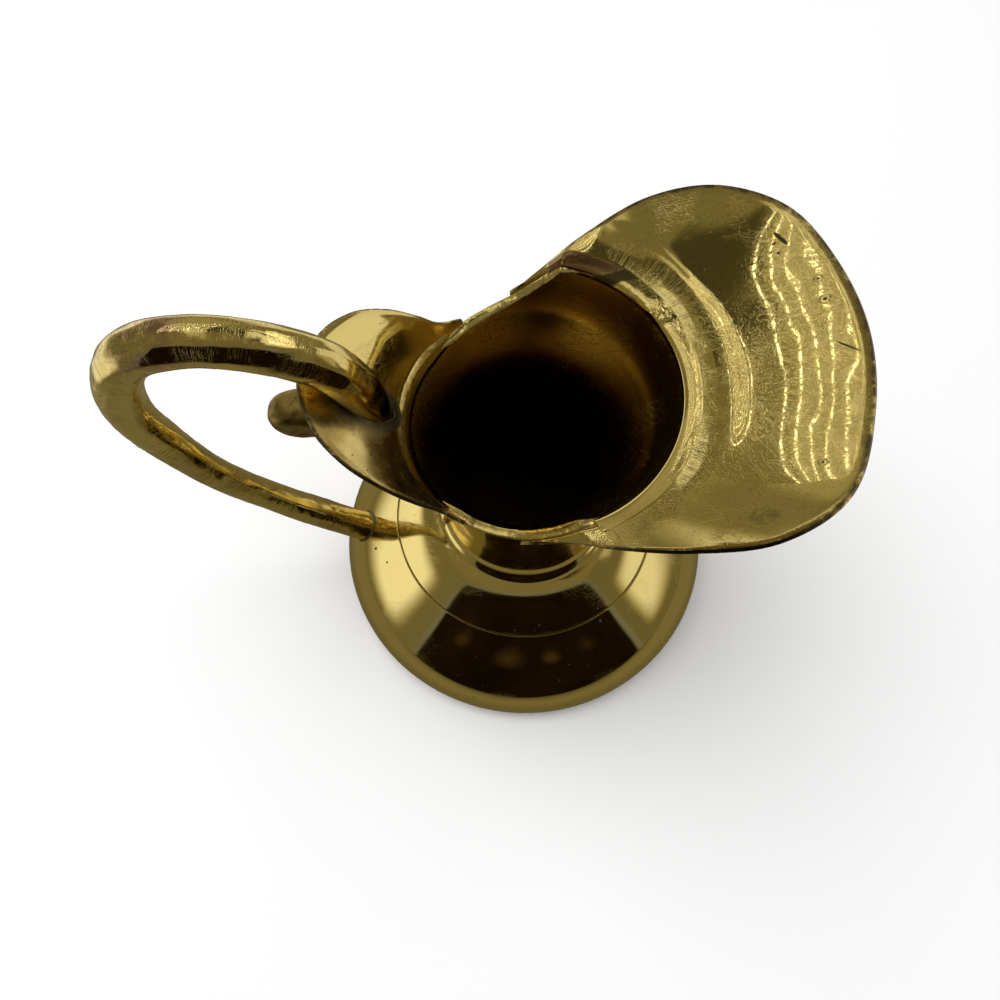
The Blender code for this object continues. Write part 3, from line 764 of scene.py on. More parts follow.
def handle_finish():
    """Bar with cross file marks, dark film in its hollows and a coppery patch."""
    colours = finish_colours()
    p = brass_finish("handle_filed_brass", film=0.7, pitted=0.9, scratched=0.8, polish=0.045,
                     tint=(0.96, 0.95, 0.90), grain=0.45)
    along = p.own("along")
    marks = p.node("CombineXYZ", {}, {0: along * 2600.0, 1: 0.0, 2: 0.0})
    spread = p.node("VectorMath", {"operation": "ADD"}, {0: marks, 1: p.stretch(90.0, 160.0, 90.0)})
    cross = p.hairs(spread, 1.0, 0.030) * p.band(p.cloud(120.0, 3.0), 0.42, 0.55)
    low = p.band(along, 0.135, 0.165)
    x, _, z = p.axes()
    coppery = p.window(x, -0.094, -0.082, -0.078, -0.070) * p.band(z, 0.128, 0.136)
    coppery = coppery * p.band(p.cloud(160.0, 5.0, 0.7), 0.38, 0.52)
    p.layer((cross * (low * 0.7 + 0.3)).clamped(), 0.6, tuple(colours.oxide), rough=0.2, height=-0.8)
    p.layer(low, 0.30, tuple(colours.aged), rough=0.02)
    p.layer(coppery, 0.62, (0.46, 0.26, 0.24))
    p.height = p.height + p.cloud(1.0, 3.0, 0.55, place=p.stretch(260.0, 330.0, 260.0)) * 0.55
    return p.settle()


def spur_finish():
    """Dull, aged lug."""
    p = brass_finish("spur_dull_brass", film=1.2, pitted=1.2, scratched=0.8, polish=0.36,
                     tint=(0.58, 0.53, 0.42), grain=0.9)
    p.layer(p.band(p.cloud(190.0, 5.0, 0.7, 0.8), 0.46, 0.60), 0.65, (0.10, 0.075, 0.045))
    p.height = p.height + p.cloud(420.0, 5.0, 0.7) * 1.6
    return p.settle()


def braze_finish(name, copper_end):
    """Braze rubbed to the colour of the sheet, with a coppery, burnt far end, or with painted shade where it
    runs down into the throat.
    """
    p = brass_finish(name, film=0.6, pitted=0.6, scratched=0.6, polish=0.06, grain=0.4)
    # Painted shade of the throat carried onto the lobe's braze
    brown = p.band(throat_height(p), 97.0 * MM, 119.0 * MM, 0.88, 0.0) * (1.0 - copper_end)
    p.layer(brown, 1.0, (0.17, 0.10, 0.028), rough=0.24)
    across = p.axes()[1] + p.cloud(330.0, 4.0, 0.7) * (3.0 * MM)
    copper = p.band(across, 33.0 * MM, 34.6 * MM) * copper_end
    burnt = p.window(across, 30.4 * MM, 31.4 * MM, 33.4 * MM, 34.4 * MM) * copper_end
    p.layer(copper, 0.85, tuple(c * 0.32 for c in finish_colours().copper), rough=0.10)
    p.layer(burnt, 0.9, (0.03, 0.02, 0.012), rough=0.3)
    return p.settle()


def waist_finish():
    """Braze rubbed bright along the bare edge, with dark spots left in it."""
    p = brass_finish("waist_burnished_brass", film=0.25, pitted=1.5, scratched=1.0, polish=0.17, grain=0.35)
    p.layer(p.band(p.cloud(300.0, 5.0, 0.7), 0.53, 0.64), 0.7, (0.13, 0.095, 0.045), rough=0.2)
    return p.settle()


def solder_finish(name, greyness):
    """Dull mottled solder, from brown to grey."""
    colours = finish_colours()
    p = Paint(name)
    lumps = p.cloud(1100.0, 5.0, 0.7)
    p.colour = tuple(c * 0.55 for c in colours.aged)
    p.rough = lumps * 0.25 + 0.30
    p.height = lumps
    patch = p.band(p.cloud(420.0, 5.0, 0.7, 0.8), 0.36, 0.64)
    p.layer((patch * 0.8 + (greyness - 0.4)).clamped(), 1.0, tuple(colours.solder))
    p.layer(p.pits(900.0, 0.22, 0.25), 1.0, tuple(colours.oxide), height=-0.8)
    return p.settle(SOLDER_RELIEF)


def dress(obj, *paints):
    """Give a piece its finish, and one for its other side where it has two."""
    obj.data.materials.clear()
    for paint in paints:
        obj.data.materials.append(paint.owner)


# Pieces
def build_base():
    """Better finishes for the base disc, with painted shade on its inner face, and the hidden solder bands.
    """
    base = brass_finish("base_brass_aged", film=1.0, pitted=0.8, scratched=1.0, polish=0.30,
                        turned_marks=0.6)
    # Painted shade: the disc's inner face, deep inside the body, near black
    inner_face_shade = base.band(base.axes()[2], 0.3 * MM, 0.7 * MM)
    base.layer(inner_face_shade, 0.95, PAINTED_SHADE_BROWN, rough=0.3)
    base.settle()
    solder = solder_finish("inside_solder", 0.7)
    for name, paint in (("base_disc", base), ("base_seam_solder", solder), ("shoulder_seam_solder", solder)):
        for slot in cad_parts[name].material_slots:
            slot.material = paint.owner


def build_body():
    """Domed body with its foot edge and the turned-in bottom."""
    s = sizes()
    mesh = spin_outline(dome_outline(56), s.turn_steps)
    for vert in mesh.verts:
        if vert.co.z > 1.0 * MM:
            vert.co += vert.normal * wobble(vert.co, 23.0 * MM, 0.07 * MM, 3.0) * ease(vert.co.z / (8.0 * MM))
    body = add_piece("body_dome", mesh, ["body_bowl"])
    give_sheet(body, s.rounding * 0.6, other_side=True)
    dress(body, body_finish(), inside_finish())


def build_neck():
    """Shoulder, straight neck and flare, trimmed at the waist of the mouth."""
    s = sizes()
    outline = flare_outline(26) + shoulder_outline(16)
    mesh = spin_outline(outline, s.turn_steps)
    table = flare_table()
    edge = neck_edge_line()
    layer = mesh.verts.layers.float.new("rim")
    for vert in mesh.verts:
        vert[layer] = 0.05
        if vert.co.z > STRAIGHT_TOP:
            angle = math.atan2(vert.co.y, vert.co.x)
            share = (vert.co.z - STRAIGHT_TOP) / (s.neck_top - STRAIGHT_TOP)
            top = waist_height(angle, table, edge)
            height = STRAIGHT_TOP + share * (top - STRAIGHT_TOP)
            radius = reading(table, height)
            vert.co = Vector((radius * math.cos(angle), radius * math.sin(angle), height))
            vert[layer] = top - height
    mesh.normal_update()
    for vert in mesh.verts:
        if 45.0 * MM < vert.co.z < 96.0 * MM:
            vert.co += vert.normal * wobble(vert.co, 19.0 * MM, 0.10 * MM, 9.0)
    neck = add_piece("neck_sheet", mesh, ["shoulder_and_neck"])
    give_sheet(neck, s.rounding, other_side=True)
    dress(neck, neck_finish(), inside_finish())


def lapped_section(rim, highest_seat, lap, table):
    """Corner places of one section of a lapped sheet, in the plane of radius and height."""
    s = sizes()
    edge = Vector((math.hypot(rim.x, rim.y), rim.z))
    seat_height = min(highest_seat, rim.z - 0.8 * MM)
    seat = Vector((reading(table, seat_height) + s.joint, seat_height))
    below = seat_height - 0.5 * MM
    rise = (seat - Vector((reading(table, below) + s.joint, below))).normalized()
    bend = min(1.6 * MM, (edge - seat).length / 3.0)
    elbow = seat + rise * bend
    leave = elbow + (edge - elbow).normalized() * bend
    return {"seat": seat, "elbow": elbow, "leave": leave, "edge": edge, "lap": lap, "table": table,
            "angle": math.atan2(rim.y, rim.x)}


def formed_lifts(leave, edge, form, ring, amount):
    """Heights above the straight run that give a section its own slopes, with both ends unmoved."""
    step = (edge.x - leave.x) / LIFT_STEPS
    middle, half, steeper = ring
    heights = [0.0]
    for k in range(LIFT_STEPS):
        distance = (leave.x + (k + 0.5) * step) / MM
        slope = reading(form, distance) + steeper * math.exp(-((distance - middle) / half) ** 2)
        heights.append(heights[-1] + math.tan(math.radians(slope)) * step)
    shares = [k / LIFT_STEPS for k in range(LIFT_STEPS + 1)]
    return [(share, (height - heights[-1] * share) * amount) for share, height in zip(shares, heights)]


def on_section(section, v):
    """A place on a section: 0 at its lower edge and 1 at the rim."""
    if v < LAP_SHARE:
        height = section["seat"].y - section["lap"] * (1.0 - v / LAP_SHARE)
        return Vector((reading(section["table"], height) + sizes().joint, height))
    seat, elbow, leave = section["seat"], section["elbow"], section["leave"]
    if v < BEND_SHARE:
        t = (v - LAP_SHARE) / (BEND_SHARE - LAP_SHARE)
        u = 1.0 - t
        near, far = seat.lerp(elbow, 0.67), leave.lerp(elbow, 0.67)
        return seat * u**3 + near * (3 * u**2 * t) + far * (3 * u * t * t) + leave * t**3
    t = (v - BEND_SHARE) / (1.0 - BEND_SHARE)
    return leave.lerp(section["edge"], t) + Vector((0.0, reading(section["lifts"], t)))


def held_on_neck(end, table):
    """A rim point that lies on the outside of the neck."""
    x, z = end[0] * MM, end[1] * MM
    radius = reading(table, z) + sizes().joint
    return Vector((x, math.sqrt(radius**2 - x**2), z))


def lip_half(far_side=True):
    """Sections of one half of the lip from its tip to its side end, with the ring faded on the near side."""
    s = sizes()
    table = flare_table()
    count = 110
    line = smooth_through([Vector(k) * MM for k in LIP_RIM] + [held_on_neck(LIP_END, table)], count,
                          square_start=True)
    line[0].y = 0.0
    sections = []
    for k, rim in enumerate(line):
        lap = SHORT_LAP + (s.lap - SHORT_LAP) * min(1.0, (count - k) / (count * 0.27))
        section = lapped_section(rim, s.neck_top, lap, table)
        degrees = math.degrees(section["angle"])
        formed = 1.0 - ease((degrees - 50.0) / 24.0)
        if far_side:
            steeper = LIP_RING[2] + RING_SIDE_GAIN * ease((degrees - 12.0) / 25.0)
        else:
            steeper = LIP_RING[2] * (1.0 - ease((degrees - 4.0) / 24.0))
        ring = (LIP_RING[0], LIP_RING[1], steeper)
        section["lifts"] = formed_lifts(section["leave"], section["edge"], LIP_FORM, ring, formed)
        sections.append(section)
    return sections


def lobe_half():
    """Sections of the lobe from the middle of the back round to its side end."""
    s = sizes()
    table = flare_table()
    count = 70
    line = smooth_through([held_on_neck(LOBE_END, table)] + [Vector(k) * MM for k in LOBE_RIM], count,
                          square_end=True)
    line[-1].y = 0.0
    sections = []
    for k, rim in enumerate(line):
        lap = SHORT_LAP + (s.lap - SHORT_LAP) * min(1.0, k / (count * 0.44))
        section = lapped_section(rim, LOBE_SEAT * MM, lap, table)
        formed = ease((rim.xy.length - s.neck_top_radius) / (12.0 * MM))
        no_ring = (0.0, 1.0, 0.0)
        section["lifts"] = formed_lifts(section["leave"], section["edge"], LOBE_FORM, no_ring, formed)
        sections.append(section)
    return sections[::-1]


def section_share(sections, position):
    """The two sections beside a position in the list, and the share between them."""
    k = max(0, min(len(sections) - 2, int(position)))
    return sections[k], sections[k + 1], position - k


def sheet_mesh(sections, across, along, near_sections=None):
    """A sheet through the sections of both halves, with the distance to the rim stored."""
    near_sections = near_sections or sections
    last = len(sections) - 1

    def place(u, v):
        side = (0.5 - u) * 2.0
        a, b, share = section_share(sections if side >= 0.0 else near_sections, abs(side) * last)
        spot = on_section(a, v).lerp(on_section(b, v), share)
        angle = a["angle"] + (b["angle"] - a["angle"]) * share
        sign = 1.0 if side >= 0.0 else -1.0
        return Vector((spot.x * math.cos(angle), spot.x * math.sin(angle) * sign, spot.y))

    def to_rim(u, v):
        a = section_share(sections, abs(0.5 - u) * 2.0 * last)[0]
        return (1.0 - v) * ((a["edge"] - a["leave"]).length + 4.0 * MM)

    return skin_grid(across, along, place, "rim", to_rim)


def build_lip():
    """The broad pouring lip with its hammer marks and worked rim."""
    s = sizes()
    mesh = sheet_mesh(lip_half(), 230, 96, lip_half(far_side=False))
    layer = mesh.verts.layers.float["rim"]
    for vert in mesh.verts:
        outward = math.hypot(vert.co.x, vert.co.y) - s.neck_top_radius
        free = ease((outward - 4.0 * MM) / (10.0 * MM))
        worked = ease((outward - 16.0 * MM + wobble(vert.co, 15.0 * MM, 5.0 * MM, 2.0)) / (9.0 * MM))
        dents = dish(vert.co, s.dent_size, 4.0) * s.dent_depth * worked
        waves = wobble(vert.co, 26.0 * MM, 0.12 * MM, 21.0) * free
        waves += wobble(vert.co, 7.0 * MM, 0.020 * MM, 31.0) * (0.25 * free + 0.75 * worked)
        raised = ease(1.0 - vert[layer] / (1.6 * MM)) * 0.18 * MM * free
        vert.co += vert.normal * (dents + waves + raised)
    lip = add_piece("pouring_lip", mesh, ["spout"])
    give_sheet(lip, s.rounding)
    dress(lip, lip_finish())


def build_lobe():
    """The rear sheet that carries the handle, with its raised rim."""
    s = sizes()
    mesh = sheet_mesh(lobe_half(), 150, 50)
    layer = mesh.verts.layers.float["rim"]
    for vert in mesh.verts:
        outward = math.hypot(vert.co.x, vert.co.y) - 35.0 * MM
        free = ease(outward / (7.0 * MM))
        waves = wobble(vert.co, 16.0 * MM, 0.14 * MM, 41.0) + wobble(vert.co, 5.0 * MM, 0.03 * MM, 47.0)
        raised = ease(1.0 - vert[layer] / (2.0 * MM)) * 0.30 * MM
        vert.co += vert.normal * (waves + raised) * free
    lobe = add_piece("rear_lobe_sheet", mesh, ["rear_lobe"])
    give_sheet(lobe, s.rounding)
    dress(lobe, lobe_finish())


def tree_of(name):
    """Surface lookup of a finished piece."""
    graph = bpy.context.evaluated_depsgraph_get()
    return BVHTree.FromObject(bpy.data.objects[name], graph)


def bar_line():
    """Middle points along the handle, with the bar's radius as their Y."""
    knots = [(x * MM, d * MM / 2.0, z * MM) for x, z, d in HANDLE_LINE]
    return smooth_through(knots, HANDLE_STEPS)


def bar_frame(line, t):
    """Middle, radius and the two cross directions of the bar at a share of its length."""
    position = t * (len(line) - 1)
    k = min(len(line) - 2, int(position))
    spot = line[k].lerp(line[k + 1], position - k)
    before = line[max(0, k - 1)]
    after = line[min(len(line) - 1, k + 2)]
    run = Vector((after.x - before.x, 0.0, after.z - before.z)).normalized()
    across = Vector((0.0, 1.0, 0.0))
    return Vector((spot.x, 0.0, spot.z)), spot.y, run.cross(across), across


def build_handle():
    """The arched bar, filed and hammered, seated on the lobe and on the body."""
    s = sizes()
    line = bar_line()
    lobe = tree_of("rear_lobe_sheet")
    dome = tree_of("body_dome")
    upper = Vector((0.05, 0.0, -1.0)).normalized()
    lower = Vector((line[-1].x - line[-12].x, 0.0, line[-1].z - line[-12].z)).normalized()

    def held_off(spot, sheet, way):
        """The spot, stopped a joint's gap before the sheet that lies that way."""
        hit = sheet.ray_cast(spot - way * 0.03, way)[0]
        if hit and (spot - hit).dot(way) > -s.joint:
            return hit - way * s.joint
        return spot

    def place(t, turn):
        middle, radius, up, across = bar_frame(line, t)
        facet = 0.011 * math.cos(9.0 * turn + 4.0 * math.sin(t * 17.0))
        spot = middle + (up * math.cos(turn) + across * math.sin(turn)) * radius * (1.0 + facet)
        lump = wobble(spot, 8.0 * MM, 0.15 * MM, 5.0) + wobble(spot, 2.4 * MM, 0.045 * MM, 8.0)
        lump += (dish(spot, 3.4 * MM, 6.0) - 0.5) * 0.07 * MM
        spot += (spot - middle).normalized() * lump
        if t < HANDLE_FITTED:
            spot = held_off(spot, lobe, upper)
        if t > 1.0 - HANDLE_FITTED:
            spot = held_off(spot, dome, lower)
        return spot

    mesh = bar_mesh(60, 300, place, "along", lambda t, turn: t * 0.26)
    bar = add_piece("handle_bar", mesh, ["handle"])
    dress(bar, handle_finish())


def build_spur():
    """The blunt lug behind the lobe, with hammered sides."""
    s = sizes()
    lobe = tree_of("rear_lobe_sheet")
    tip, nose, radius, length, blunt = -66.5 * MM, 10.9 * MM, 6.4 * MM, 33.0 * MM, 2.7
    behind, no_hit = -90.0 * MM, -34.5 * MM

    def place(t, turn):
        distance = length * t * t
        swell = max(0.0, 1.0 - (1.0 - min(1.0, distance / nose)) ** blunt) ** (1.0 / blunt)
        flat = 1.0 - 0.14 * math.cos(2.0 * turn) ** 2
        ring = Vector((0.0, math.cos(turn), math.sin(turn))) * (radius * swell * flat)
        spot = Vector((tip + distance, 0.0, SPUR_HEIGHT)) + ring
        spot += ring.normalized() * wobble(spot, 4.0 * MM, 0.30 * MM, 12.0) * swell
        hit = lobe.ray_cast(Vector((behind, spot.y, spot.z)), Vector((1.0, 0.0, 0.0)))[0]
        limit = hit.x - s.joint if hit else no_hit
        if distance > nose:
            spot.x = tip + nose + (distance - nose) * max(0.05, (limit - tip - nose) / (length - nose))
        return spot

    mesh = bar_mesh(44, 70, place)
    bmesh.ops.remove_doubles(mesh, verts=mesh.verts[:], dist=1e-6)
    face_outward(mesh)
    spur = add_piece("spur_lug", mesh, ["rear_spur"])
    dress(spur, spur_finish())


# Joints
def ring_skin(around, across, place):
    """A closed ring: a grid whose opposite edges meet and are merged."""
    mesh = skin_grid(around, across, place)
    bmesh.ops.remove_doubles(mesh, verts=mesh.verts[:], dist=1e-7)
    return face_outward(mesh)


def on_loop(loop, share):
    """A place on a closed line of points."""
    position = (share % 1.0) * len(loop)
    k = int(position) % len(loop)
    return loop[k].lerp(loop[(k + 1) % len(loop)], position - int(position))


def joint_strip(sections, middle, reach, width, seed, lumps, drop=1.2 * MM, rough=1.0):
    """Braze feathered from the neck's inner face, over its edge and out onto the lapped sheet.

    Each lump is the angle where it stands and its half width, in degrees, and its height in millimetres.
    """
    s = sizes()
    table = flare_table()
    angles = [one["angle"] for one in sections]
    rising = angles[0] < angles[-1]

    def section_loop(angle):
        size = abs(angle)
        k = 0
        while k < len(angles) - 2 and ((size > angles[k + 1]) if rising else (size < angles[k + 1])):
            k += 1
        span = angles[k + 1] - angles[k]
        share = max(0.0, min(1.0, (size - angles[k]) / span))
        a, b = sections[k], sections[k + 1]
        seat, elbow = a["seat"].lerp(b["seat"], share), a["elbow"].lerp(b["elbow"], share)
        leave, edge = a["leave"].lerp(b["leave"], share), a["edge"].lerp(b["edge"], share)
        run = (edge - leave).normalized()
        lift = Vector((-run.y, run.x))
        top = neck_top_at(angle)
        low = top - 0.5 * MM
        rise = Vector((reading(table, top) - reading(table, low), 0.5 * MM)).normalized()
        inward = Vector((-rise.y, rise.x))
        outer_corner = Vector((reading(table, top), top))
        corner = outer_corner + inward * s.sheet
        foot_height = top - drop
        start = Vector((reading(table, foot_height), foot_height)) + inward * (s.sheet + 0.02 * MM)
        crest = corner + inward * 0.07 * MM + rise * 0.04 * MM
        length = min(width, (edge - leave).length * 0.6)
        foot = leave + run * length + lift * 0.02 * MM
        face = [start] + bezier(crest, crest + rise * (0.9 * MM + length * 0.18),
                                foot - run * (length * 0.5 + 1.0 * MM), foot, 9)
        under = [leave + lift * 0.05 * MM, elbow + lift * 0.06 * MM, seat + Vector((-0.10 * MM, 0.30 * MM)),
                 outer_corner + rise * 0.03 * MM, corner + rise * 0.03 * MM]
        return face + under

    def place(t, turn):
        angle = middle + (t - 0.5) * 2.0 * reach
        sized = math.atan2(math.sin(angle), math.cos(angle))
        loop = section_loop(sized)
        spot = on_loop(loop, turn / math.tau + 1.0)
        share = (turn / math.tau + 1.0) % 1.0
        on_face = ease(min(1.0, max(0.0, 0.62 - share) * 8.0)) * ease(min(1.0, share * 10.0))
        out = Vector((spot.x * math.cos(angle), spot.x * math.sin(angle), spot.y))
        lump = abs(wobble(out, 2.6 * MM, 0.05 * MM, seed)) + wobble(out, 0.9 * MM, 0.012 * MM, seed + 3.0)
        lump *= rough
        for at, wide, high in lumps:
            near = math.exp(-((math.degrees(angle) - at) / wide) ** 2)
            lump += near * high * MM * (0.4 + abs(noise.noise(out / (0.9 * MM))))
        out += Vector((-math.cos(angle) * 0.35, -math.sin(angle) * 0.35, 0.94)) * lump * on_face
        return out

    return bar_mesh(42, 320, place)


def neck_top_at(angle):
    """Height of the neck's trimmed edge at an angle."""
    return waist_height(angle, flare_table(), neck_edge_line())


def collar_mesh(middle, axis, radius, trees, width, height, seed):
    """A solder skirt that runs from a round bar out onto the sheet that it stands on."""
    first = Vector((0.0, 1.0, 0.0))
    second = axis.cross(first).normalized()
    across = 14

    def ground(spot):
        best = None
        for tree in trees:
            hit = tree.ray_cast(spot + axis * 0.02, -axis)
            if hit[0] and (best is None or hit[3] < best[1]):
                best = (hit[0], hit[3])
        return best[0] if best else spot

    def place(u, v):
        turn = u * math.tau
        out = first * math.cos(turn) + second * math.sin(turn)
        here = width(turn) * (1.0 + 0.35 * noise.noise(out * 2.3 + Vector((seed, 0.0, 0.0))))
        tall = height * (1.0 + 0.30 * noise.noise(out * 1.7 + Vector((0.0, seed, 0.0))))
        over_and_under = min(1.0, v / 0.9)
        inner_wall = max(0.0, v - 0.9) / 0.1
        share = 1.0 - abs(2.0 * over_and_under - 1.0)
        reach = radius - 0.25 * MM + here * share
        foot = ground(middle + out * reach)
        level = (1.0 - share) ** 1.8 * tall + 0.04 * MM
        rough = wobble(foot, 1.3 * MM, 0.16 * MM, seed) + wobble(foot, 0.5 * MM, 0.05 * MM, seed)
        high = max(0.04 * MM, level + rough * ease(share * 6.0) * ease((1.0 - share) * 6.0))
        if over_and_under < 0.5:
            return foot + axis * high
        low = 0.01 * MM
        return foot + axis * (low + (high - low) * inner_wall)

    return ring_skin(64, 2 * across, place)


def build_braze():
    """Braze along the two laps, smoothed over, with burrs and copper-coloured ends."""
    mesh = joint_strip(lip_half(), math.radians(5.0), math.radians(75.0), width=1.3 * MM, seed=51.0,
                       lumps=[(31.5, 2.6, 0.60), (27.0, 1.3, 0.40)], rough=0.22)
    strip = add_piece("lip_braze_strip", mesh, ["spout_braze"])
    dress(strip, braze_finish("lip_braze_mixed", 1.0))
    mesh = joint_strip(lobe_half(), math.pi, math.radians(50.0), width=8.0 * MM, seed=61.0,
                       lumps=[(205.0, 5.0, 0.12)], drop=2.2 * MM)
    strip = add_piece("lobe_braze_strip", mesh, ["rear_lobe_braze"])
    dress(strip, braze_finish("lobe_braze_mixed", 0.0))
    burnished = waist_finish()
    for name, side in (("waist_edge_near", -1.0), ("waist_edge_far", 1.0)):
        edge = add_piece(name, waist_edge_mesh(side), ["rear_lobe_braze"])
        dress(edge, burnished)


def waist_edge_mesh(side):
    """A burnished roll along the neck's bare edge, leaning in over the wall, on the side of Y given."""
    table = flare_table()
    first, last = math.radians(62.0), math.radians(142.0)

    def place(t, turn):
        angle = side * (first + (last - first) * t)
        top = neck_top_at(angle)
        full = ease(min(1.0, t * 5.0)) * ease(min(1.0, (1.0 - t) * 5.0))
        wide = (0.45 + 1.00 * full) * MM
        tall = (0.28 + 0.37 * full) * MM
        radius = reading(table, top) + 0.12 * MM - wide
        out = Vector((math.cos(angle), math.sin(angle), 0.0))
        spot = out * (radius + wide * math.cos(turn))
        spot.z = top + 0.06 * MM + tall * math.sin(turn) + 0.28 * (wide * math.cos(turn) - wide)
        uneven = wobble(spot, 3.2 * MM, 0.16 * MM, 101.0) + wobble(spot, 1.1 * MM, 0.06 * MM, 104.0)
        return spot + Vector((-out.x * 0.3, -out.y * 0.3, 0.95)) * uneven * full

    return bar_mesh(20, 200, place)


def build_collars():
    """Solder at both ends of the handle and braze round the spur."""
    lobe, neck, strip = tree_of("rear_lobe_sheet"), tree_of("neck_sheet"), tree_of("lobe_braze_strip")
    dome = tree_of("body_dome")
    line = bar_line()
    start, end = line[0], line[-1]
    middle = Vector((start.x, 0.0, start.z + 5.0 * MM))
    mesh = collar_mesh(middle, Vector((-0.05, 0.0, 1.0)).normalized(), 5.0 * MM, [lobe, strip, neck],
                       lambda turn: 1.5 * MM + 0.9 * MM * max(0.0, math.cos(turn)), 1.5 * MM, 71.0)
    upper = add_piece("upper_collar", mesh, ["handle_upper_solder"])
    dress(upper, solder_finish("upper_solder_grey", 0.55))
    run = Vector((line[-12].x - end.x, 0.0, line[-12].z - end.z)).normalized()
    middle = Vector((end.x, 0.0, end.z)) + run * 6.0 * MM
    mesh = collar_mesh(middle, run, 5.0 * MM, [dome], lambda turn: 1.1 * MM, 1.0 * MM, 81.0)
    lower = add_piece("lower_collar", mesh, ["handle_lower_solder"])
    dress(lower, solder_finish("lower_solder_brown", 0.05))
    middle = Vector((-50.0 * MM, 0.0, SPUR_HEIGHT))
    mesh = collar_mesh(middle, Vector((-1.0, 0.0, 0.0)), 6.3 * MM, [lobe],
                       lambda turn: 1.3 * MM, 1.9 * MM, 91.0)
    ring = add_piece("spur_braze_ring", mesh, ["rear_spur_braze"])
    dress(ring, solder_finish("spur_braze_brown", 0.2))


# Stage
def glow_paint(name):
    """A finish that only glows, for the cards that the metal mirrors."""
    p = Paint(name)
    p.set(Base_Color=BLACK, Roughness=1.0, Emission_Strength=1.0, Specular_IOR_Level=0.0)
    return p


def grey(p, level, tint=WHITE):
    """A colour of a tint at a level, warmer where it is dim."""
    warm = p.mix(level, BLACK, (1.0, 0.88, 0.50))
    return p.mix(p.band(level, 0.12, 0.85), warm, p.mix(level, BLACK, tint))


def stage_glow(mesh, p):
    """Make a glowing stage object that no camera ray or diffuse ray meets."""
    card = link_mesh(p.owner.name, mesh)
    dress(card, p)
    card.visible_camera = False
    card.visible_diffuse = False
    card.visible_shadow = False
    card.visible_transmission = False


def stage_card(p, colour, middle, size_a, size_b, turn):
    """A flat card of a glowing colour that only the metal sees."""
    p.set(Emission_Color=colour)
    mesh = bmesh.new()
    shape = Matrix.Diagonal((size_a, size_b, 1.0, 1.0))
    add_square(mesh, 0.5, Matrix.Translation(middle) @ turn @ shape)
    stage_glow(mesh, p)


def build_walls(look):
    """The tent's side and back walls, and the dark opening in front with its few lights."""
    (left, right), (front, back) = TENT_X, TENT_Y
    middle_y, half_up = (front + back) / 2.0, TENT_TOP / 2.0
    side = Matrix.Rotation(math.radians(90.0), 4, "Y")
    upright = Matrix.Rotation(math.radians(90.0), 4, "X")

    p = glow_paint("tent_left")
    _, y, z = p.axes()
    patch = p.band(y, -0.150, -0.080) * p.window(z, 0.008, 0.066, 0.100, 0.170)
    colour = grey(p, patch * look.wall_glow + look.walls, WARM_WHITE)
    stage_card(p, colour, (left, middle_y, half_up), TENT_TOP, back - front, side)

    p = glow_paint("tent_right")
    _, y, z = p.axes()
    patch = p.band(y, -0.165, -0.110) * p.window(z, 0.025, 0.075, 0.098, 0.145)
    high = p.band(z, 0.200, 0.240) * p.band(y, -0.090, -0.060) * 0.30
    beside = p.band(z, 0.105, 0.140) * p.band(y, -0.030, -0.008) * 0.62
    level = (patch * (look.wall_glow * 0.72) + high).at_least(beside) + look.walls * 0.9
    colour = grey(p, level.at_most(1.15), WARM_WHITE)
    stage_card(p, colour, (right, middle_y, half_up), TENT_TOP, back - front, side)

    p = glow_paint("tent_back")
    x, _, z = p.axes()
    patch = p.window(z, 0.010, 0.070, 0.110, 0.200) * 0.65
    corner = p.fall(x, -0.060, 0.000) * p.band(z, 0.200, 0.260) * 0.14
    colour = grey(p, patch + corner + look.walls * 1.2, WARM_WHITE)
    stage_card(p, colour, (0.0, back, half_up), right - left, TENT_TOP, upright)

    p = glow_paint("tent_opening")
    x, _, z = p.axes()
    room = p.cloud(9.0, 3.0, 0.6) * 0.016
    for at_x, at_z, wide, level in ROOM_LIGHTS:
        across, up = x - at_x, z - at_z
        room = room + p.band((across * across + up * up * 4.0) ** 0.5, 0.0, wide, level, 0.0)
    dark = p.mix(room.clamped(), BLACK, (1.0, 0.62, 0.30))
    frame_part = (p.band(z, 0.275, 0.300) + p.band(x.size(), 0.226, 0.240)).clamped()
    colour = p.mix(frame_part, dark, (0.17, 0.17, 0.165))
    stage_card(p, colour, (0.0, front, half_up), right - left, TENT_TOP, upright)


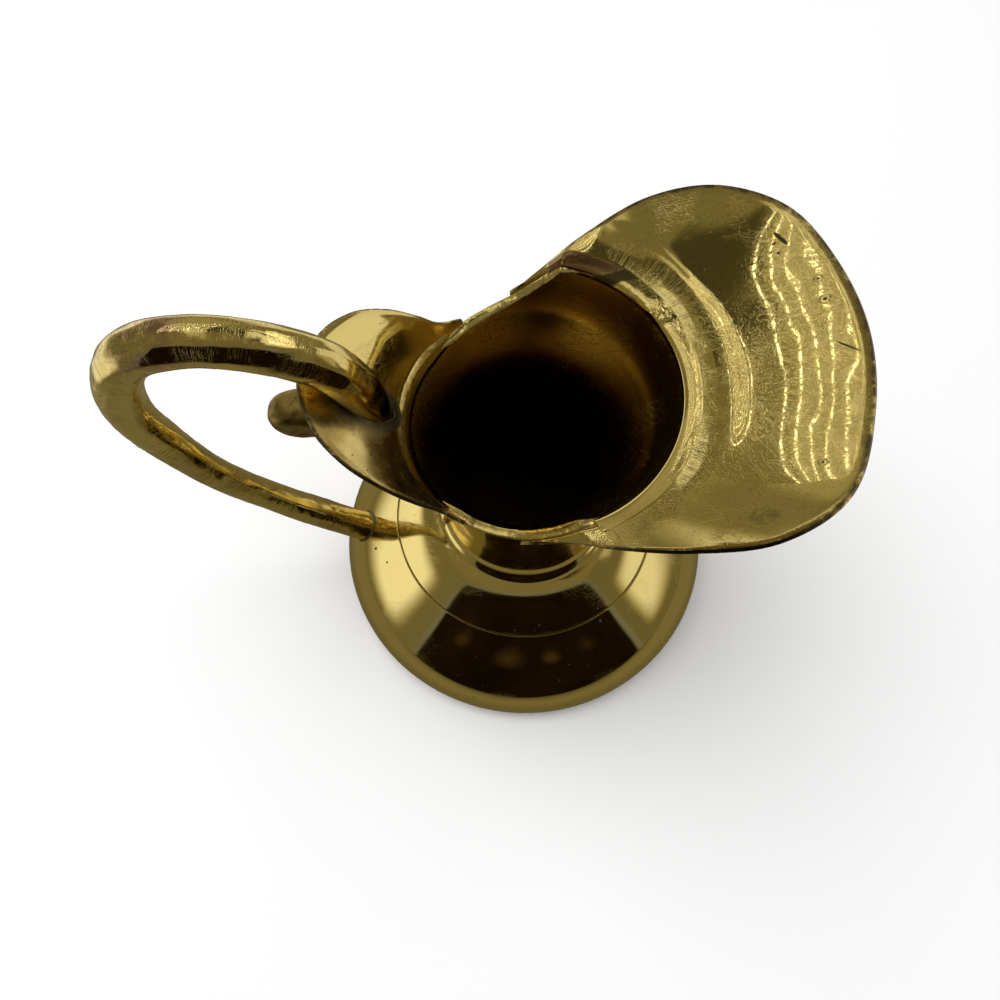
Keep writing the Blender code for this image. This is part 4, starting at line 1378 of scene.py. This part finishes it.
def build_ceiling(look):
    """The tent's ceiling with its two lit panels, a grey card of painted floor shade for the metal to mirror,
    and the rows of small lamps.
    """
    (left, right), (front, back) = TENT_X, TENT_Y
    middle_y = (front + back) / 2.0
    flat = Matrix.Identity(4)

    p = glow_paint("tent_ceiling")
    x, y, _ = p.axes()
    near_edge = p.band(y, -0.020, 0.004, 0.052, 0.022)
    near_part = p.band(x - near_edge, 0.0, 0.010) * p.window(y, -0.066, -0.048, 0.080, 0.096)
    far_part = p.band(x, 0.027, 0.032) * p.window(y, 0.112, 0.120, 0.178, 0.196)
    right_panel = (near_part + far_part).clamped() * p.fall(x, 0.136, 0.150)
    left_edge = p.band(y, 0.020, 0.045, -0.060, -0.072)
    start = p.band(x, -0.135, -0.115, 0.0, -0.062)
    left_panel = p.fall(x - left_edge, -0.034, 0.004) * p.band(x, -0.246, -0.216)
    left_panel = left_panel * p.band(y - start, -0.010, 0.030)
    lit = right_panel * p.band(y, 0.080, 0.112, 0.66, 0.56) + left_panel * p.band(y, 0.06, 0.11, 0.34, 0.17)
    hole = p.window(y, -0.012, 0.010, 0.130, 0.152) * p.band(x, -0.215, -0.200)
    hole = hole * (1.0 - p.band(y, 0.094, 0.108) * p.band(x, -0.034, -0.024)) * p.fall(x, 0.05, 0.06)
    hole = hole * (1.0 - (right_panel + left_panel).clamped())
    colour = grey(p, (lit + 0.19) * (1.0 - hole) + hole * 0.06, (1.0, 1.0, 0.96))
    stage_card(p, colour, (0.0, middle_y, TENT_TOP), right - left, back - front, flat)

    # Glossy-only grey card over the floor: painted shade of the floor as the metal mirrors it, darker by the
    # foot and towards the front
    p = glow_paint("tent_floor")
    y = p.axes()[1]
    level = p.band(p.from_axis(), 0.064, 0.10, 0.13, 0.20) * p.band(y, -0.20, -0.09, 0.45, 1.0)
    stage_card(p, grey(p, level), (0.0, middle_y, 0.3 * MM), right - left, back - front, flat)

    p = glow_paint("lamp_dots")
    p.set(Emission_Color=(1.0, 1.0, 0.97), Emission_Strength=look.lamp_rows)
    mesh = bmesh.new()
    shape = Matrix.Diagonal((1.0, LAMP_STRETCH, 1.0, 1.0))
    for first_row, row_step in LAMP_ROWS:
        for row in range(LAMP_ROW_COUNT):
            for dot in range(LAMP_DOTS):
                spot = Vector((first_row + row * row_step, 0.006 + dot * 0.0074, TENT_TOP - 0.002))
                add_square(mesh, LAMP_HALF, Matrix.Translation(spot) @ shape)
    stage_glow(mesh, p)


def build_floor(look):
    """White paper under the pitcher."""
    mesh = bmesh.new()
    add_square(mesh, FLOOR_HALF, Matrix.Identity(4))
    floor = link_mesh("floor", mesh)
    p = Paint("floor_paper")
    p.set(Base_Color=tuple(look.floor), Roughness=0.9, Specular_IOR_Level=0.1)
    dress(floor, p)


def build_surround(look):
    """Soft light from all sides, plain white where the camera or the metal sees it."""
    p = Paint("surround", world=True)
    p.set(Color=WHITE, Strength=look.sky)
    plain_white = p.node("Background", {}, {"Color": WHITE, "Strength": 1.0})
    seen, mirrored = (p.node("LightPath", {}, {}, ray) for ray in ("Is Camera Ray", "Is Glossy Ray"))
    soft = Wire(p, p.shader.outputs[0])
    both = p.node("MixShader", {}, {0: seen.at_least(mirrored), 1: soft, 2: plain_white})
    p.feed(p.tree.nodes["World Output"].inputs[0], both)
    bpy.context.scene.world = p.owner


def build_softbox(look):
    """The one lamp, which the metal doesn't mirror."""
    light = bpy.data.lights.new("softbox", "AREA")
    light.shape = "SQUARE"
    light.size = SOFTBOX_SIZE
    light.energy = look.key
    lamp = bpy.data.objects.new("softbox", light)
    spot = Vector(SOFTBOX_PLACE)
    lamp.matrix_world = Matrix.Translation(spot) @ spot.to_track_quat("Z", "Y").to_matrix().to_4x4()
    lamp.visible_glossy = False
    bpy.context.scene.collection.objects.link(lamp)


def build_camera():
    """The camera that was solved from the photograph."""
    scene = bpy.context.scene
    right = Vector((1.0, 0.0, 0.0))
    forward = Vector((0.0, math.cos(CAMERA_DOWN), -math.sin(CAMERA_DOWN)))
    up = Vector((0.0, math.sin(CAMERA_DOWN), math.cos(CAMERA_DOWN)))
    side = right * math.cos(CAMERA_ROLL) + up * math.sin(CAMERA_ROLL)
    top = up * math.cos(CAMERA_ROLL) - right * math.sin(CAMERA_ROLL)
    view = bpy.data.cameras.new("camera")
    view.lens = CAMERA_LENS
    view.sensor_width = CAMERA_SENSOR
    view.clip_start = 0.01
    camera = bpy.data.objects.new("camera", view)
    matrix = Matrix((side, top, -forward)).transposed().to_4x4()
    matrix.translation = Vector(CAMERA_PLACE) * MM
    camera.matrix_world = matrix
    scene.collection.objects.link(camera)
    scene.camera = camera
    scene.view_settings.view_transform = "Standard"


def build_stage():
    """Floor, tent, surround, softbox and the camera."""
    look = bpy.context.scene.stage_look
    build_floor(look)
    build_walls(look)
    build_ceiling(look)
    build_surround(look)
    build_softbox(look)
    build_camera()


# Operators
class MakeBase(bpy.types.Operator):
    """Finish the base disc and the inside solder"""
    bl_idname = "pitcher.make_base"
    bl_label = "Base"

    def execute(self, context):
        build_base()
        return {"FINISHED"}


class MakeBody(bpy.types.Operator):
    """Build the domed body"""
    bl_idname = "pitcher.make_body"
    bl_label = "Body"

    def execute(self, context):
        build_body()
        return {"FINISHED"}


class MakeNeck(bpy.types.Operator):
    """Build the shoulder, neck and flare"""
    bl_idname = "pitcher.make_neck"
    bl_label = "Neck"

    def execute(self, context):
        build_neck()
        return {"FINISHED"}


class MakeLip(bpy.types.Operator):
    """Build the pouring lip"""
    bl_idname = "pitcher.make_lip"
    bl_label = "Pouring lip"

    def execute(self, context):
        build_lip()
        return {"FINISHED"}


class MakeLobe(bpy.types.Operator):
    """Build the rear lobe"""
    bl_idname = "pitcher.make_lobe"
    bl_label = "Rear lobe"

    def execute(self, context):
        build_lobe()
        return {"FINISHED"}


class MakeHandle(bpy.types.Operator):
    """Build the handle bar"""
    bl_idname = "pitcher.make_handle"
    bl_label = "Handle"

    def execute(self, context):
        build_handle()
        return {"FINISHED"}


class MakeSpur(bpy.types.Operator):
    """Build the rear spur"""
    bl_idname = "pitcher.make_spur"
    bl_label = "Spur"

    def execute(self, context):
        build_spur()
        return {"FINISHED"}


class MakeBraze(bpy.types.Operator):
    """Build the braze along the laps"""
    bl_idname = "pitcher.make_braze"
    bl_label = "Braze"

    def execute(self, context):
        build_braze()
        return {"FINISHED"}


class MakeCollars(bpy.types.Operator):
    """Build the solder at the handle's ends and round the spur"""
    bl_idname = "pitcher.make_collars"
    bl_label = "Collars"

    def execute(self, context):
        build_collars()
        return {"FINISHED"}


class MakeStage(bpy.types.Operator):
    """Set up the floor, light and camera"""
    bl_idname = "pitcher.make_stage"
    bl_label = "Stage"

    def execute(self, context):
        build_stage()
        return {"FINISHED"}


STEPS = (MakeBase, MakeBody, MakeNeck, MakeLip, MakeLobe, MakeBraze, MakeHandle, MakeSpur, MakeCollars,
         MakeStage)


class PitcherPanel(bpy.types.Panel):
    """Sizes, colours and building steps"""
    bl_idname = "VIEW3D_PT_pitcher"
    bl_label = "Brass pitcher"
    bl_space_type = "VIEW_3D"
    bl_region_type = "UI"
    bl_category = "Pitcher"

    def draw(self, context):
        for group in (context.scene.pitcher_sizes, context.scene.pitcher_finish, context.scene.stage_look):
            box = self.layout.box()
            for name in group.bl_rna.properties.keys():
                if name not in ("rna_type", "name"):
                    box.prop(group, name)
        for step in STEPS:
            self.layout.operator(step.bl_idname)


CLASSES = (PitcherSizes, PitcherFinish, StageLook) + STEPS + (PitcherPanel,)


def register():
    for each in CLASSES:
        bpy.utils.register_class(each)
    bpy.types.Scene.pitcher_sizes = PointerProperty(type=PitcherSizes)
    bpy.types.Scene.pitcher_finish = PointerProperty(type=PitcherFinish)
    bpy.types.Scene.stage_look = PointerProperty(type=StageLook)


def unregister():
    del bpy.types.Scene.stage_look
    del bpy.types.Scene.pitcher_finish
    del bpy.types.Scene.pitcher_sizes
    for each in reversed(CLASSES):
        bpy.utils.unregister_class(each)


def main():
    register()
    for step in STEPS:
        group, name = step.bl_idname.split(".")
        getattr(getattr(bpy.ops, group), name)()


if __name__ == "__main__":
    main()
